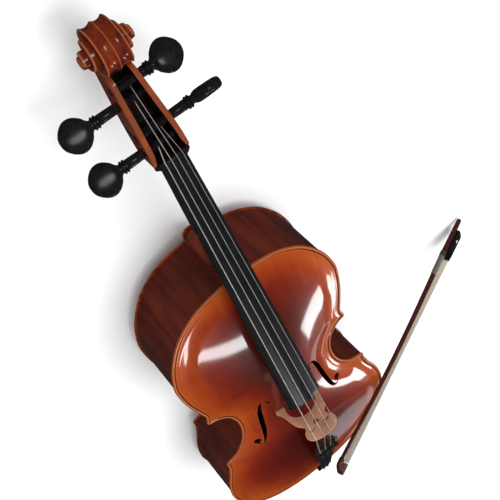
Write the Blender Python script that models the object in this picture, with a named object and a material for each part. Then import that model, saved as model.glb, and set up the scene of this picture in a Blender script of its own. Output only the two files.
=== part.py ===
"""A cello lying on its back, with its bow leaning across the edge of the lower bout.

Instrument axes: X runs towards the treble side, Y from the lower end of the body towards the
scroll, and Z is square to the body, with zero at the top face of the belly's edge. The empty
cello_frame carries those axes and puts the whole object's box centre at the world's origin.
"""

import math

import bpy
from mathutils import Matrix, Quaternion, Vector

MM = 0.001
GAP = 0.3 * MM
FACET_ALLOWANCE = 0.6 * MM

# Where the instrument's own axes sit in the world.
CENTRE_LINE_X = -189.4 * MM
LOWER_END_Y = -585.0 * MM
BELLY_EDGE_Z = 148.6 * MM

# Body.
BODY_LENGTH = 755 * MM
EDGE_THICKNESS = 4.5 * MM
EDGE_OVERHANG = 3.5 * MM
RIB_THICKNESS = 1.6 * MM
RIB_HEIGHT = 117.0 * MM
BELLY_ARCH = 23.5 * MM
BACK_ARCH = 22.0 * MM
ARCH_COLUMNS = 8
LINING_THICKNESS = 2.2 * MM
LINING_HEIGHT = 12 * MM
RIB_TOP = -EDGE_THICKNESS - GAP
RIB_BOTTOM = RIB_TOP - RIB_HEIGHT
BACK_EDGE_TOP = RIB_BOTTOM - GAP
MID_RIB_Z = (RIB_TOP + RIB_BOTTOM) / 2

# Neck, fingerboard and strings.
NUT_Y = 1020 * MM
NUT_DEPTH = 10 * MM
NUT_HALF = 28.5 * MM
BOARD_END_Y = 448 * MM
BOARD_HEIGHT_AT_BODY = 36 * MM
BOARD_SLOPE = 0.17
BOARD_RADIUS = 66 * MM
BOARD_EDGE = 7 * MM
BOARD_HALF_AT_NUT = 20 * MM
BOARD_HALF_AT_END = 34 * MM
NECK_DEPTH = 31 * MM
HEEL_HALF = 20.5 * MM
HEEL_START_Y = 740 * MM
BRIDGE_Y = 362 * MM
STRING_SPREAD_AT_NUT = 9.4 * MM
STRING_SPREAD_AT_BRIDGE = 16.2 * MM

# Pegs: name, place along Y, height, the side that the head is on, and how far out the head's middle is.
PEGS = (
    ("c", 1048 * MM, -31 * MM, -1, 62 * MM),
    ("a", 1066 * MM, -41 * MM, 1, 62 * MM),
    ("g", 1110 * MM, -61 * MM, -1, 66 * MM),
    ("d", 1128 * MM, -68.5 * MM, 1, 44 * MM),
)
PEG_HOLE_RADIUS = 6.6 * MM
EYE_Y = 1186 * MM
EYE_Z = -73 * MM

# Strings from bass to treble: name, radius and place across, in string spacings.
STRINGS = (
    ("c", 0.9 * MM, -1.5),
    ("g", 0.65 * MM, -0.5),
    ("d", 0.5 * MM, 0.5),
    ("a", 0.4 * MM, 1.5),
)

# Tailpiece and endpin.
TAILPIECE_TOP_Y = 244 * MM
TAILPIECE_TOP_Z = 81 * MM
TAILPIECE_LENGTH = 228 * MM
TAILPIECE_SLOPE = math.atan(0.291)
TUNER_SPACING = 13 * MM
PLUG_NECK_RADIUS = 8 * MM
ROD_RADIUS = 5 * MM
CORD_RADIUS = 1.6 * MM

# Bow: its two ends on the stick's line, in the instrument's axes.
BOW_TIP = (-3.7 * MM, 134 * MM, 86 * MM)
BOW_END = (580.5 * MM, 220.2 * MM, -142.2 * MM)
BOW_ROLL = math.radians(85)
HAIR_HEIGHT = 25 * MM
BOW_CAMBER = 11 * MM
STICK_RADIUS_AT_TIP = 4.0 * MM
STICK_RADIUS_AT_END = 5.5 * MM
FROG_HALF = 9.5 * MM
HEAD_HALF = 7.5 * MM
HAIR_HALF_AT_HEAD = 7 * MM
HAIR_HALF_AT_FROG = 8.2 * MM

UPPER_BOUT = (
    (0, 755), (40, 752), (85, 740), (128, 709), (160, 660), (175, 612), (177, 580),
    (173, 540), (164, 500), (158.5, 476), (163, 457),
)
WAIST = (
    (162.5, 450.5), (145, 445), (126, 427), (117, 404), (114.5, 382), (117, 355),
    (126, 327), (144, 303), (160, 295.5), (176.5, 292.5),
)
LOWER_BOUT = (
    (177, 286), (177, 270), (184, 245), (196, 212), (203, 170), (200, 132), (186, 92),
    (158, 56), (115, 26), (60, 7), (0, 0),
)
SOUND_HOLE = (
    (49, 415), (55, 423), (62, 420), (67, 407), (71, 384), (75, 353), (79, 322),
    (84, 299), (89, 286), (96, 282), (102, 290),
)
SOUND_HOLE_HALVES = (1.8, 2.4, 3.2, 4.2, 5.0, 5.2, 5.0, 4.2, 3.2, 2.4, 1.8)
UPPER_EYE = (48 * MM, 408 * MM, 6.5 * MM)
LOWER_EYE = (101 * MM, 297 * MM, 8 * MM)


# ---------------------------------------------------------------- materials and objects


def material(name, colour, roughness, metallic=0.0):
    made = bpy.data.materials.new(name)
    made.use_nodes = True
    shader = made.node_tree.nodes["Principled BSDF"]
    shader.inputs["Base Color"].default_value = (*colour, 1)
    shader.inputs["Roughness"].default_value = roughness
    shader.inputs["Metallic"].default_value = metallic
    made.diffuse_color = (*colour, 1)
    return made


def make_materials():
    return {
        "varnished_spruce": material("varnished_spruce", (0.36, 0.07, 0.02), 0.2),
        "varnished_maple": material("varnished_maple", (0.24, 0.05, 0.02), 0.22),
        "bare_wood": material("bare_wood", (0.72, 0.55, 0.36), 0.6),
        "bridge_maple": material("bridge_maple", (0.5, 0.3, 0.16), 0.5),
        "ebony": material("ebony", (0.012, 0.012, 0.014), 0.35),
        "string_steel": material("string_steel", (0.8, 0.8, 0.8), 0.25, 1.0),
        "bright_steel": material("bright_steel", (0.72, 0.72, 0.73), 0.2, 1.0),
        "black_plastic": material("black_plastic", (0.02, 0.02, 0.02), 0.6),
        "bow_wood": material("bow_wood", (0.14, 0.03, 0.015), 0.25),
        "horsehair": material("horsehair", (0.8, 0.74, 0.6), 0.5),
        "brass": material("brass", (0.6, 0.42, 0.15), 0.3, 1.0),
        "pearl": material("pearl", (0.85, 0.84, 0.8), 0.2),
        "leather": material("leather", (0.03, 0.02, 0.015), 0.6),
    }


def add(name, shape, parent, stuff=None, origin=(0, 0, 0)):
    """A named object from (points, faces), whose origin is at a given point of its parent's axes."""
    points, faces = shape
    at = Vector(origin)
    mesh = bpy.data.meshes.new(name)
    mesh.from_pydata([Vector(p) - at for p in points], [], faces)
    if stuff:
        mesh.materials.append(stuff)
    mesh.shade_smooth()
    mesh.set_sharp_from_angle(angle=math.radians(32))
    made = bpy.data.objects.new(name, mesh)
    made.location = at
    made.parent = parent
    bpy.context.scene.collection.objects.link(made)
    return made


def helper(name, shape, parent):
    made = add(name, shape, parent)
    made.hide_render = True
    made.display_type = "WIRE"
    return made


def combine(target, tool, operation):
    modifier = target.modifiers.new(tool.name, "BOOLEAN")
    modifier.operation = operation
    modifier.solver = "EXACT"
    modifier.object = tool


def frame_empty(name, matrix, parent=None):
    empty = bpy.data.objects.new(name, None)
    empty.parent = parent
    empty.matrix_local = matrix
    bpy.context.scene.collection.objects.link(empty)
    return empty


# ---------------------------------------------------------------- shapes


def loft(sections):
    """Skins a row of sections, each a ring of as many points, and caps both ends."""
    count = len(sections[0])
    points = [p for ring in sections for p in ring]
    faces = []
    for i in range(len(sections) - 1):
        for j in range(count):
            k = (j + 1) % count
            low = i * count
            faces.append((low + j, low + k, low + count + k, low + count + j))
    faces.append(tuple(reversed(range(count))))
    faces.append(tuple(range(len(points) - count, len(points))))
    return facing_out(points, faces)


def facing_out(points, faces):
    volume = 0.0
    for face in faces:
        first = Vector(points[face[0]])
        for i in range(1, len(face) - 1):
            volume += first.dot(Vector(points[face[i]]).cross(Vector(points[face[i + 1]])))
    if volume < 0:
        faces = [tuple(reversed(face)) for face in faces]
    return points, faces


def prism(outline, low, high):
    """An outline in X and Y, raised from one height to another."""
    return loft([[(x, y, z) for x, y in outline] for z in (low, high)])


def box(low, high):
    (x0, y0, z0), (x1, y1, z1) = low, high
    return prism([(x0, y0), (x1, y0), (x1, y1), (x0, y1)], z0, z1)


def ring_points(centre, radius, sides, axis, turn=0.0):
    """A circle of points about an axis named by its letter."""
    made = []
    for i in range(sides):
        angle = 2 * math.pi * i / sides + turn
        across, up = radius * math.cos(angle), radius * math.sin(angle)
        offset = {"X": (0, across, up), "Y": (up, 0, across), "Z": (across, up, 0)}[axis]
        made.append(tuple(c + o for c, o in zip(centre, offset)))
    return made


def turned(centre, axis, stations, sides=20):
    """A turned piece: each station is its distance along the axis and its radius."""
    along = Vector({"X": (1, 0, 0), "Y": (0, 1, 0), "Z": (0, 0, 1)}[axis])
    sections = []
    for distance, radius in stations:
        at = Vector(centre) + along * distance
        sections.append(ring_points(at, radius, sides, axis))
    return loft(sections)


def hollow_turned(centre, axis, stations, bore, sides=20):
    """A turned piece with a straight bore right through it."""
    along = Vector({"X": (1, 0, 0), "Y": (0, 1, 0), "Z": (0, 0, 1)}[axis])
    loop = [*stations, (stations[-1][0], bore), (stations[0][0], bore)]
    rings = [ring_points(Vector(centre) + along * d, r, sides, axis) for d, r in loop]
    points = [p for ring in rings for p in ring]
    faces = []
    for i in range(len(rings)):
        for j in range(sides):
            k = (j + 1) % sides
            here, there = i * sides, (i + 1) % len(rings) * sides
            faces.append((here + j, here + k, there + k, there + j))
    return facing_out(points, faces)


def tube(path, radius, sides=6):
    """A round tube along a list of points, square to the path at each of them."""
    path = [Vector(p) for p in path]
    sections = []
    side = None
    for i, here in enumerate(path):
        along = (path[min(i + 1, len(path) - 1)] - path[max(i - 1, 0)]).normalized()
        if side is None:
            side = along.orthogonal().normalized()
        side = (side - along * side.dot(along)).normalized()
        other = along.cross(side)
        ring = []
        for j in range(sides):
            angle = 2 * math.pi * j / sides
            ring.append(here + (side * math.cos(angle) + other * math.sin(angle)) * radius)
        sections.append([tuple(p) for p in ring])
    return loft(sections)


def spline(points, steps):
    """Catmull-Rom curve through points given in millimetres, returned in metres."""
    ends = [
        [2 * a - b for a, b in zip(points[0], points[1])],
        [2 * a - b for a, b in zip(points[-1], points[-2])],
    ]
    padded = [ends[0], *points, ends[1]]
    made = []
    for i in range(1, len(padded) - 2):
        for j in range(steps):
            t = j / steps
            made.append(tuple(blend_cubic(t, *[p[k] for p in padded[i - 1 : i + 3]]) * MM for k in (0, 1)))
    made.append(tuple(c * MM for c in points[-1]))
    return made


def blend_cubic(t, a, b, c, d):
    return 0.5 * (2 * b + (c - a) * t + (2 * a - 5 * b + 4 * c - d) * t**2 + (3 * b - a - 3 * c + d) * t**3)


def inset(points, distance):
    """The stretch of outline moved towards the inside of the body."""
    made = []
    for i, (x, y) in enumerate(points):
        x0, y0 = points[max(i - 1, 0)]
        x1, y1 = points[min(i + 1, len(points) - 1)]
        length = math.hypot(x1 - x0, y1 - y0)
        made.append((x + (y1 - y0) / length * distance, y - (x1 - x0) / length * distance))
    return made


def crossing(first, second):
    """The first point where two open outlines cross, with the segment of each that holds it."""
    for i in range(len(first) - 1, 0, -1):
        for j in range(len(second) - 1):
            (ax, ay), (bx, by) = first[i - 1], first[i]
            (cx, cy), (dx, dy) = second[j], second[j + 1]
            across = (bx - ax) * (dy - cy) - (by - ay) * (dx - cx)
            if abs(across) < 1e-15:
                continue
            t = ((cx - ax) * (dy - cy) - (cy - ay) * (dx - cx)) / across
            u = ((cx - ax) * (by - ay) - (cy - ay) * (bx - ax)) / across
            if 0 <= t <= 1 and 0 <= u <= 1:
                return (ax + (bx - ax) * t, ay + (by - ay) * t), i, j
    raise ValueError("these outlines don't cross")


def trimmed(points, start, end):
    """The stretch without a given length at each of its ends."""
    for length in (start, end):
        points = list(points)
        while length > 0:
            step = math.dist(points[0], points[1])
            if step > length:
                share = length / step
                points[0] = tuple(a + (b - a) * share for a, b in zip(points[0], points[1]))
                break
            length -= step
            points = points[1:]
        points = points[::-1]
    return points


def lengthened(points):
    """The stretch with a straight piece added at each end, long enough to reach its neighbour."""
    (ax, ay), (bx, by), (cx, cy), (dx, dy) = points[0], points[1], points[-2], points[-1]
    before, after = 12 * MM / math.dist((ax, ay), (bx, by)), 12 * MM / math.dist((cx, cy), (dx, dy))
    first = (ax + (ax - bx) * before, ay + (ay - by) * before)
    last = (dx + (dx - cx) * after, dy + (dy - cy) * after)
    return [first, *points, last]


def inside_stretches(distance):
    """The three stretches of the half outline, inset and ended where they meet at the corners."""
    upper = lengthened(inset(spline(UPPER_BOUT, 4), distance))[1:]
    waist = lengthened(inset(spline(WAIST, 4), distance))
    lower = lengthened(inset(spline(LOWER_BOUT, 4), distance))[:-1]
    corner, last, first = crossing(upper, waist)
    upper = [*upper[:last], corner]
    waist = [corner, *waist[first + 1 :]]
    corner, last, first = crossing(waist, lower)
    waist = [*waist[:last], corner]
    lower = [corner, *lower[first + 1 :]]
    upper[0] = (0, upper[0][1])
    lower[-1] = (0, lower[-1][1])
    return resampled(upper, 14), resampled(waist, 12), resampled(lower, 15)


def half_outline():
    return spline(UPPER_BOUT, 2) + spline(WAIST, 2) + spline(LOWER_BOUT, 2)


def mirrored(points):
    return [(-x, y) for x, y in points]


def resampled(points, count):
    """The same stretch as a fixed number of even steps."""
    lengths = [math.dist(a, b) for a, b in zip(points, points[1:])]
    made, total = [points[0]], sum(lengths)
    for i in range(1, count):
        left, j = total * i / count, 0
        while left > lengths[j]:
            left -= lengths[j]
            j += 1
        share = left / lengths[j]
        made.append(tuple(a + (b - a) * share for a, b in zip(points[j], points[j + 1])))
    return [*made, points[-1]]


def whole_loop(distance):
    upper, waist, lower = inside_stretches(distance)
    half = upper + waist[1:] + lower[1:]
    return half + mirrored(half[1:-1])[::-1]


def arch(x, y, half, height):
    """Height of an arched plate above its edge, where half is the plate's half width at y."""
    along = abs(2 * y / BODY_LENGTH - 1)
    crest = max(0.0, 1 - along**2.6)
    return height * crest * 0.5 * (1 + math.cos(math.pi * min(1, abs(x) / half)))


def half_width_at(y):
    outline = half_outline()
    for (x0, y0), (x1, y1) in zip(outline, outline[1:]):
        if y1 <= y <= y0:
            return x1 + (x0 - x1) * (y - y1) / max(y0 - y1, 1e-9)
    return 0.0


def belly_height(x, y):
    return arch(x, y, half_width_at(y), BELLY_ARCH)


def plate(height, edge_top, thickness):
    """An arched plate of even thickness, whose arch rises above the edge, or below it if negative."""
    outline = half_outline()
    points, rows = [], []
    for side in (0, 1):
        for x, y in outline:
            row = []
            columns = 0 if x == 0 else ARCH_COLUMNS
            for j in range(columns + 1):
                across = x * (2 * j / columns - 1) if columns else 0.0
                rise = arch(across, y, max(x, 1e-6), height)
                row.append(len(points))
                points.append((across, y, edge_top + rise - side * thickness))
            rows.append(row)
    top, bottom = rows[: len(outline)], rows[len(outline) :]
    faces = []
    for surface, flip in ((top, False), (bottom, True)):
        for above, below in zip(surface, surface[1:]):
            for face in strip(above, below):
                faces.append(face[::-1] if flip else face)
    for a, b, c, d in zip(top, top[1:], bottom, bottom[1:]):
        faces.append((a[0], c[0], d[0], b[0]))
        faces.append((a[-1], b[-1], d[-1], c[-1]))
    return facing_out(points, faces)


def strip(above, below):
    """Faces between two rows of a plate, either of which may be a single point."""
    if len(above) == 1:
        return [(above[0], below[j], below[j + 1]) for j in range(len(below) - 1)]
    if len(below) == 1:
        return [(above[j], below[0], above[j + 1]) for j in range(len(above) - 1)]
    return [(above[j], below[j], below[j + 1], above[j + 1]) for j in range(len(above) - 1)]


# ---------------------------------------------------------------- body


def make_belly(cello, stuff):
    belly = add("top_plate", plate(BELLY_ARCH, 0, EDGE_THICKNESS), cello, stuff["varnished_spruce"])
    for side, word in ((-1, "bass"), (1, "treble")):
        stem = helper(f"sound_hole_{word}", sound_hole_stem(side), cello)
        combine(belly, stem, "DIFFERENCE")
        for label, (x, y, radius) in (("upper", UPPER_EYE), ("lower", LOWER_EYE)):
            shape = turned((side * x, y, 0), "Z", ((-20 * MM, radius), (40 * MM, radius)))
            combine(belly, helper(f"{label}_eye_{word}", shape, cello), "DIFFERENCE")
    saddle_notch = box((-18.3 * MM, -2 * MM, -8 * MM), (18.3 * MM, 8.3 * MM, 12 * MM))
    combine(belly, helper("saddle_notch", saddle_notch, cello), "DIFFERENCE")
    combine(belly, bpy.data.objects["heel_notch"], "DIFFERENCE")


def sound_hole_stem(side):
    """The curved slot of one sound hole, as a stroke whose width swells in the middle."""
    left, right = [], []
    for i, (x, y) in enumerate(SOUND_HOLE):
        x0, y0 = SOUND_HOLE[max(i - 1, 0)]
        x1, y1 = SOUND_HOLE[min(i + 1, len(SOUND_HOLE) - 1)]
        length = math.hypot(x1 - x0, y1 - y0)
        half = SOUND_HOLE_HALVES[i]
        nx, ny = (y1 - y0) / length * half, -(x1 - x0) / length * half
        left.append((x + nx, y + ny))
        right.append((x - nx, y - ny))
    outline = left + right[::-1]
    outline = [(side * x * MM, y * MM) for x, y in outline]
    return prism(outline, -20 * MM, 40 * MM)


def make_back(cello, stuff):
    back = add("back_plate", plate(-BACK_ARCH, BACK_EDGE_TOP, EDGE_THICKNESS), cello, stuff["varnished_maple"])
    button_radius = 15 * MM
    arc = [(-button_radius, 745 * MM), (button_radius, 745 * MM)]
    for i in range(9):
        angle = math.pi * i / 8
        arc.append((button_radius * math.cos(angle), 760 * MM + button_radius * math.sin(angle)))
    shape = prism(arc, BACK_EDGE_TOP - EDGE_THICKNESS, BACK_EDGE_TOP)
    combine(back, helper("button", shape, cello), "UNION")


def make_ribs(cello, stuff):
    outer = inside_stretches(EDGE_OVERHANG)
    inner = inside_stretches(EDGE_OVERHANG + RIB_THICKNESS)
    ends = ((HEEL_HALF + GAP, GAP), (GAP, GAP), (GAP, GAP))
    for name, away, near, (start, end) in zip(("upper", "waist", "lower"), outer, inner, ends):
        for side, word in ((-1, "bass"), (1, "treble")):
            away_part, near_part = trimmed(away, start, end), trimmed(near, start, end)
            outline = away_part + near_part[::-1]
            outline = [(side * x, y) for x, y in outline]
            rib = add(f"{name}_rib_{word}", prism(outline, RIB_BOTTOM, RIB_TOP), cello, stuff["varnished_maple"])
            if name == "lower":
                combine(rib, bpy.data.objects["plug_bore"], "DIFFERENCE")


def make_linings(cello, stuff):
    start = EDGE_OVERHANG + RIB_THICKNESS + GAP
    for name, top in (("top_lining", RIB_TOP), ("back_lining", RIB_BOTTOM + LINING_HEIGHT)):
        bottom = top - LINING_HEIGHT
        lining = add(name, hoop(start, start + LINING_THICKNESS, bottom, top), cello, stuff["bare_wood"])
        combine(lining, bpy.data.objects["heel_notch"], "DIFFERENCE")
        wider = hoop(start - GAP, start + LINING_THICKNESS + GAP, bottom - GAP, top + GAP)
        helper(f"{name}_mortise", wider, cello)


def hoop(outer, inner, low, high):
    """A closed band that follows the body's outline, between two insets."""
    rings = [[(x, y, z) for x, y in whole_loop(d)] for d, z in ((outer, low), (outer, high), (inner, high), (inner, low))]
    count = len(rings[0])
    points = [p for ring in rings for p in ring]
    faces = []
    for i in range(4):
        for j in range(count):
            k = (j + 1) % count
            here, there = i * count, (i + 1) % 4 * count
            faces.append((here + j, here + k, there + k, there + j))
    return facing_out(points, faces)


def make_blocks(cello, stuff):
    upper, waist, lower = inside_stretches(EDGE_OVERHANG + RIB_THICKNESS + GAP)
    outlines = {}
    for side, word in ((-1, "bass"), (1, "treble")):
        for name, before, after in (("upper", upper, waist), ("lower", waist, lower)):
            outline = before[-4:] + after[1:4]
            outlines[f"{name}_corner_block_{word}"] = [(side * x, y) for x, y in outline]
    near_end = lower[-4:]
    outlines["end_block"] = near_end + mirrored(near_end[:-1])[::-1]
    near_neck = upper[:3]
    inner_face = [(50 * MM, 700 * MM), (-50 * MM, 700 * MM)]
    outlines["neck_block"] = near_neck + inner_face + mirrored(near_neck[1:])[::-1]
    outlines["end_block"] = [(x, max(y, 0)) for x, y in outlines["end_block"]]
    for name, outline in outlines.items():
        block = add(name, prism(outline, RIB_BOTTOM, RIB_TOP), cello, stuff["bare_wood"])
        for lining in ("top_lining_mortise", "back_lining_mortise"):
            combine(block, bpy.data.objects[lining], "DIFFERENCE")
        if name == "end_block":
            combine(block, bpy.data.objects["plug_bore"], "DIFFERENCE")
        if name == "neck_block":
            combine(block, bpy.data.objects["heel_notch"], "DIFFERENCE")


def make_bass_bar(cello, stuff):
    """The bar under the bass side of the belly, deepest below the bridge."""
    x, half = -26 * MM, 5 * MM
    low_y, high_y, steps = 120 * MM, 640 * MM, 10
    sections = []
    for i in range(steps + 1):
        y = low_y + (high_y - low_y) * i / steps
        depth = (7 + 14 * math.sin(math.pi * i / steps)) * MM
        edge = belly_height(x - half, y) - EDGE_THICKNESS - GAP - FACET_ALLOWANCE
        sections.append([(x - half, y, edge - depth), (x + half, y, edge - depth), (x + half, y, edge), (x - half, y, edge)])
    add("bass_bar", loft(sections), cello, stuff["bare_wood"])


def make_sound_post(cello, stuff):
    x, y, radius = 27 * MM, 350 * MM, 5.5 * MM
    far = x + radius
    top = belly_height(far, y) - EDGE_THICKNESS - GAP - FACET_ALLOWANCE
    half = half_width_at(y)
    bottom = BACK_EDGE_TOP - EDGE_THICKNESS + arch(far, y, half, -BACK_ARCH) + EDGE_THICKNESS + GAP + FACET_ALLOWANCE
    add("sound_post", turned((x, y, 0), "Z", ((bottom, radius), (top, radius)), 16), cello, stuff["bare_wood"])


# ---------------------------------------------------------------- neck, scroll and fingerboard


def board_top(y):
    return BOARD_HEIGHT_AT_BODY + BOARD_SLOPE * (BODY_LENGTH - y)


def board_half(y):
    share = (NUT_Y - y) / (NUT_Y - BOARD_END_Y)
    return BOARD_HALF_AT_NUT + (BOARD_HALF_AT_END - BOARD_HALF_AT_NUT) * share


def board_bottom(y):
    return board_top(y) - board_half(y) ** 2 / (2 * BOARD_RADIUS) - BOARD_EDGE


def neck_section(y, bottom, half):
    """A flat-topped section with a half-round back, as deep as its lowest point says."""
    top = board_bottom(y) - GAP
    shoulder = min(8 * MM, (top - bottom) / 3)
    ring = [(half, y, top), (-half, y, top), (-half, y, top - shoulder)]
    for i in range(1, 8):
        angle = math.pi * i / 8
        ring.append((-half * math.cos(angle), y, top - shoulder - (top - shoulder - bottom) * math.sin(angle)))
    ring.append((half, y, top - shoulder))
    return ring


def make_heel_notch(cello):
    """The mortise that the neck's root fills, a little wider than the root itself."""
    low = RIB_BOTTOM - GAP / 2
    notch = box((-HEEL_HALF - GAP, HEEL_START_Y - GAP, low), (HEEL_HALF + GAP, BODY_LENGTH + 5 * MM, 40 * MM))
    helper("heel_notch", notch, cello)


def make_neck(cello, stuff):
    heel = ((740, -121.5), (757, -121.5), (771, -121.0), (777, -112), (782, -95), (787, -70), (794, -46), (806, -26), (824, -12))
    sections = [neck_section(y * MM, z * MM, HEEL_HALF) for y, z in heel]
    for y in (850 * MM, 900 * MM, 960 * MM, 1008 * MM):
        sections.append(neck_section(y, board_top(y) - NECK_DEPTH, board_half(y) - 0.4 * MM))
    end = NUT_Y - 0.5 * MM
    sections.append(neck_section(end, board_top(end) - 36 * MM, BOARD_HALF_AT_NUT - 0.4 * MM))
    neck = add("neck_and_scroll", loft(sections), cello, stuff["varnished_maple"])
    combine(neck, helper("pegbox_solid", pegbox(1, 0, 1), cello), "UNION")
    for i, (radius, half) in enumerate(((36, 19.5), (26, 25.5), (18, 32), (10, 39))):
        at = (-half * MM, EYE_Y, EYE_Z)
        whorl = turned(at, "X", ((0, radius * MM), (2 * half * MM, radius * MM)), 28 - 4 * i)
        combine(neck, helper(f"whorl_{i + 1}", whorl, cello), "UNION")
    combine(neck, helper("pegbox_channel", channel(), cello), "DIFFERENCE")
    for name, y, z, *_ in PEGS:
        hole = turned((-40 * MM, y, z), "X", ((0, PEG_HOLE_RADIUS), (80 * MM, PEG_HOLE_RADIUS)), 16)
        combine(neck, helper(f"peg_hole_{name}", hole, cello), "DIFFERENCE")


# Stations of the pegbox: place along Y, front edge, back and half width, in millimetres.
PEGBOX = (
    (1012, -20.5, -38, 19.6), (1018, -20.5, -44, 24.5), (1026.2, -20.5, -50, 29), (1030.6, -20.5, -52.8, 29.2),
    (1031, -13.2, -53, 29.2), (1036, -14, -57, 29), (1056, -18, -66, 28.2), (1080, -28, -77, 26.4), (1108, -43, -89, 24.2),
    (1134, -56, -99, 21.8), (1160, -72, -105, 19.6),
)


def pegbox(share, front_rise, back_share):
    sections = []
    for y, front, back, half in PEGBOX:
        half = half * share * MM
        high, low = (front + front_rise) * MM, (front + (back - front) * back_share) * MM
        sections.append([(-half, y * MM, low), (half, y * MM, low), (half, y * MM, high), (-half, y * MM, high)])
    return loft(sections)


def channel():
    """The open trough between the pegbox's cheeks."""
    wall, floor = 7.5 * MM, 9 * MM
    sections = []
    for y, front, back, half in PEGBOX[4:]:
        inner, y = half * MM - wall, min(y, 1148) * MM
        low, high = back * MM + floor, (front + 30) * MM
        sections.append([(-inner, y, low), (inner, y, low), (inner, y, high), (-inner, y, high)])
    return loft(sections)


def make_fingerboard(cello, stuff):
    sections = []
    for y in (NUT_Y, BODY_LENGTH, BOARD_END_Y):
        half, ring = board_half(y), []
        for i in range(9):
            x = half * (1 - i / 4)
            ring.append((x, y, board_top(y) - x * x / (2 * BOARD_RADIUS)))
        ring += [(-half, y, board_bottom(y)), (half, y, board_bottom(y))]
        sections.append(ring)
    add("fingerboard", loft(sections), cello, stuff["ebony"])


def nut_top(x):
    return board_top(NUT_Y) + 1.2 * MM - x * x / (2 * BOARD_RADIUS)


def make_nut(cello, stuff):
    low, end_top = -20.2 * MM, -14.5 * MM
    ring = [BOARD_HALF_AT_NUT * (1 - i / 4) for i in range(9)]
    sections = []
    for y in (NUT_Y + GAP, NUT_Y + NUT_DEPTH):
        top = [(x, y, nut_top(x)) for x in ring]
        ends = [(-NUT_HALF, y, end_top), (-NUT_HALF, y, low), (NUT_HALF, y, low), (NUT_HALF, y, end_top)]
        sections.append(top + ends)
    add("nut", loft(sections), cello, stuff["ebony"])


def peg_stations(wall, reach):
    """Distance from the cheek's face, half width and half thickness, from the far end to the head."""
    through = -2 * wall + 1 * MM
    head = (
        (-34, 6.4, 6.4), (-33.5, 9.6, 9.6), (-27, 9.6, 9.6), (-26, 6.8, 6.8), (-22, 9, 7), (-16, 17, 9.4),
        (-8, 23, 9.5), (0, 24.2, 9), (9, 21.5, 9), (17, 15, 8.4), (22, 8, 6),
    )
    shaft = [(through, 5.2 * MM, 5.2 * MM), (0, 6.2 * MM, 6.2 * MM)]
    return shaft + [(reach + d * MM, wide * MM, thick * MM) for d, wide, thick in head]


def make_pegs(cello, stuff):
    sides = 12
    for name, y, z, side, reach in PEGS:
        wall = half_of_pegbox(y)
        turn = math.radians(-38 if name != "a" else 50)
        sections = []
        for distance, wide, thick in peg_stations(wall, reach):
            ring = []
            for i in range(sides):
                angle = 2 * math.pi * i / sides
                across, up = wide * math.cos(angle), thick * math.sin(angle)
                spun = (across * math.cos(turn) - up * math.sin(turn), across * math.sin(turn) + up * math.cos(turn))
                ring.append((side * (wall + distance), y + spun[0], z + spun[1]))
            sections.append(ring)
        add(f"peg_{name}", loft(sections), cello, stuff["ebony"], (side * wall, y, z))


def half_of_pegbox(y):
    for (y0, _, _, half0), (y1, _, _, half1) in zip(PEGBOX, PEGBOX[1:]):
        if y0 * MM <= y <= y1 * MM:
            return (half0 + (half1 - half0) * (y / MM - y0) / (y1 - y0)) * MM
    raise ValueError("no pegbox there")


# ---------------------------------------------------------------- bridge, strings and tailpiece

# Half of the bridge seen along the strings, from the top centre down to the foot and up again.
BRIDGE_OUTSIDE = (
    (0, 118.8), (12, 117.6), (24.3, 114.0), (31, 108.5), (34.5, 100.5), (31.5, 92.5), (25.5, 87), (24.5, 80),
    (30, 74), (36, 66), (38.5, 52), (41, 36), (44.5, 26), (46.5, 21),
)
BRIDGE_INSIDE = ((29.5, 27), (31, 36), (28.5, 47), (21, 56), (10, 61), (0, 62.5))


def make_bridge(cello, stuff):
    foot = [(x, belly_height(x * MM, BRIDGE_Y) / MM + 0.4) for x in (46.5, 38, 29.5)]
    half = [*BRIDGE_OUTSIDE, *foot, *BRIDGE_INSIDE]
    outline = half + [(-x, z) for x, z in half[1:-1]][::-1]
    sections = []
    for side in (-1, 1):
        ring = []
        for x, z in outline:
            thick = (11 - 8.2 * (z - 16) / 100) * MM / 2
            ring.append((x * MM, BRIDGE_Y + side * thick, z * MM))
        sections.append(ring)
    bridge = add("bridge", loft(sections), cello, stuff["bridge_maple"])
    for name, x, z, radius in (("heart", 0, 84, 5), ("kidney_bass", -16, 92, 3.6), ("kidney_treble", 16, 92, 3.6)):
        hole = turned((x * MM, BRIDGE_Y - 10 * MM, z * MM), "Y", ((0, radius * MM), (20 * MM, radius * MM)), 10)
        combine(bridge, helper(name, hole, cello), "DIFFERENCE")


def bridge_crest(x):
    """Height of the bridge's top edge across its width."""
    x = abs(x) / MM
    for (x0, z0), (x1, z1) in zip(BRIDGE_OUTSIDE, BRIDGE_OUTSIDE[1:]):
        if x0 <= x <= x1:
            return (z0 + (z1 - z0) * (x - x0) / (x1 - x0)) * MM
    raise ValueError("past the bridge")


def tuner_x(place):
    return place * TUNER_SPACING


def tailpiece_matrix():
    """Axes of the tailpiece: Y from its lower end to its top end, which is at zero, and Z upwards."""
    return Matrix.Translation((0, TAILPIECE_TOP_Y, TAILPIECE_TOP_Z)) @ Matrix.Rotation(TAILPIECE_SLOPE, 4, "X")


def hook_point(place):
    """Where a string ends at its fine tuner, in the instrument's axes."""
    return tailpiece_matrix() @ Vector((tuner_x(place), 7.2 * MM, 4.5 * MM))


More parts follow.
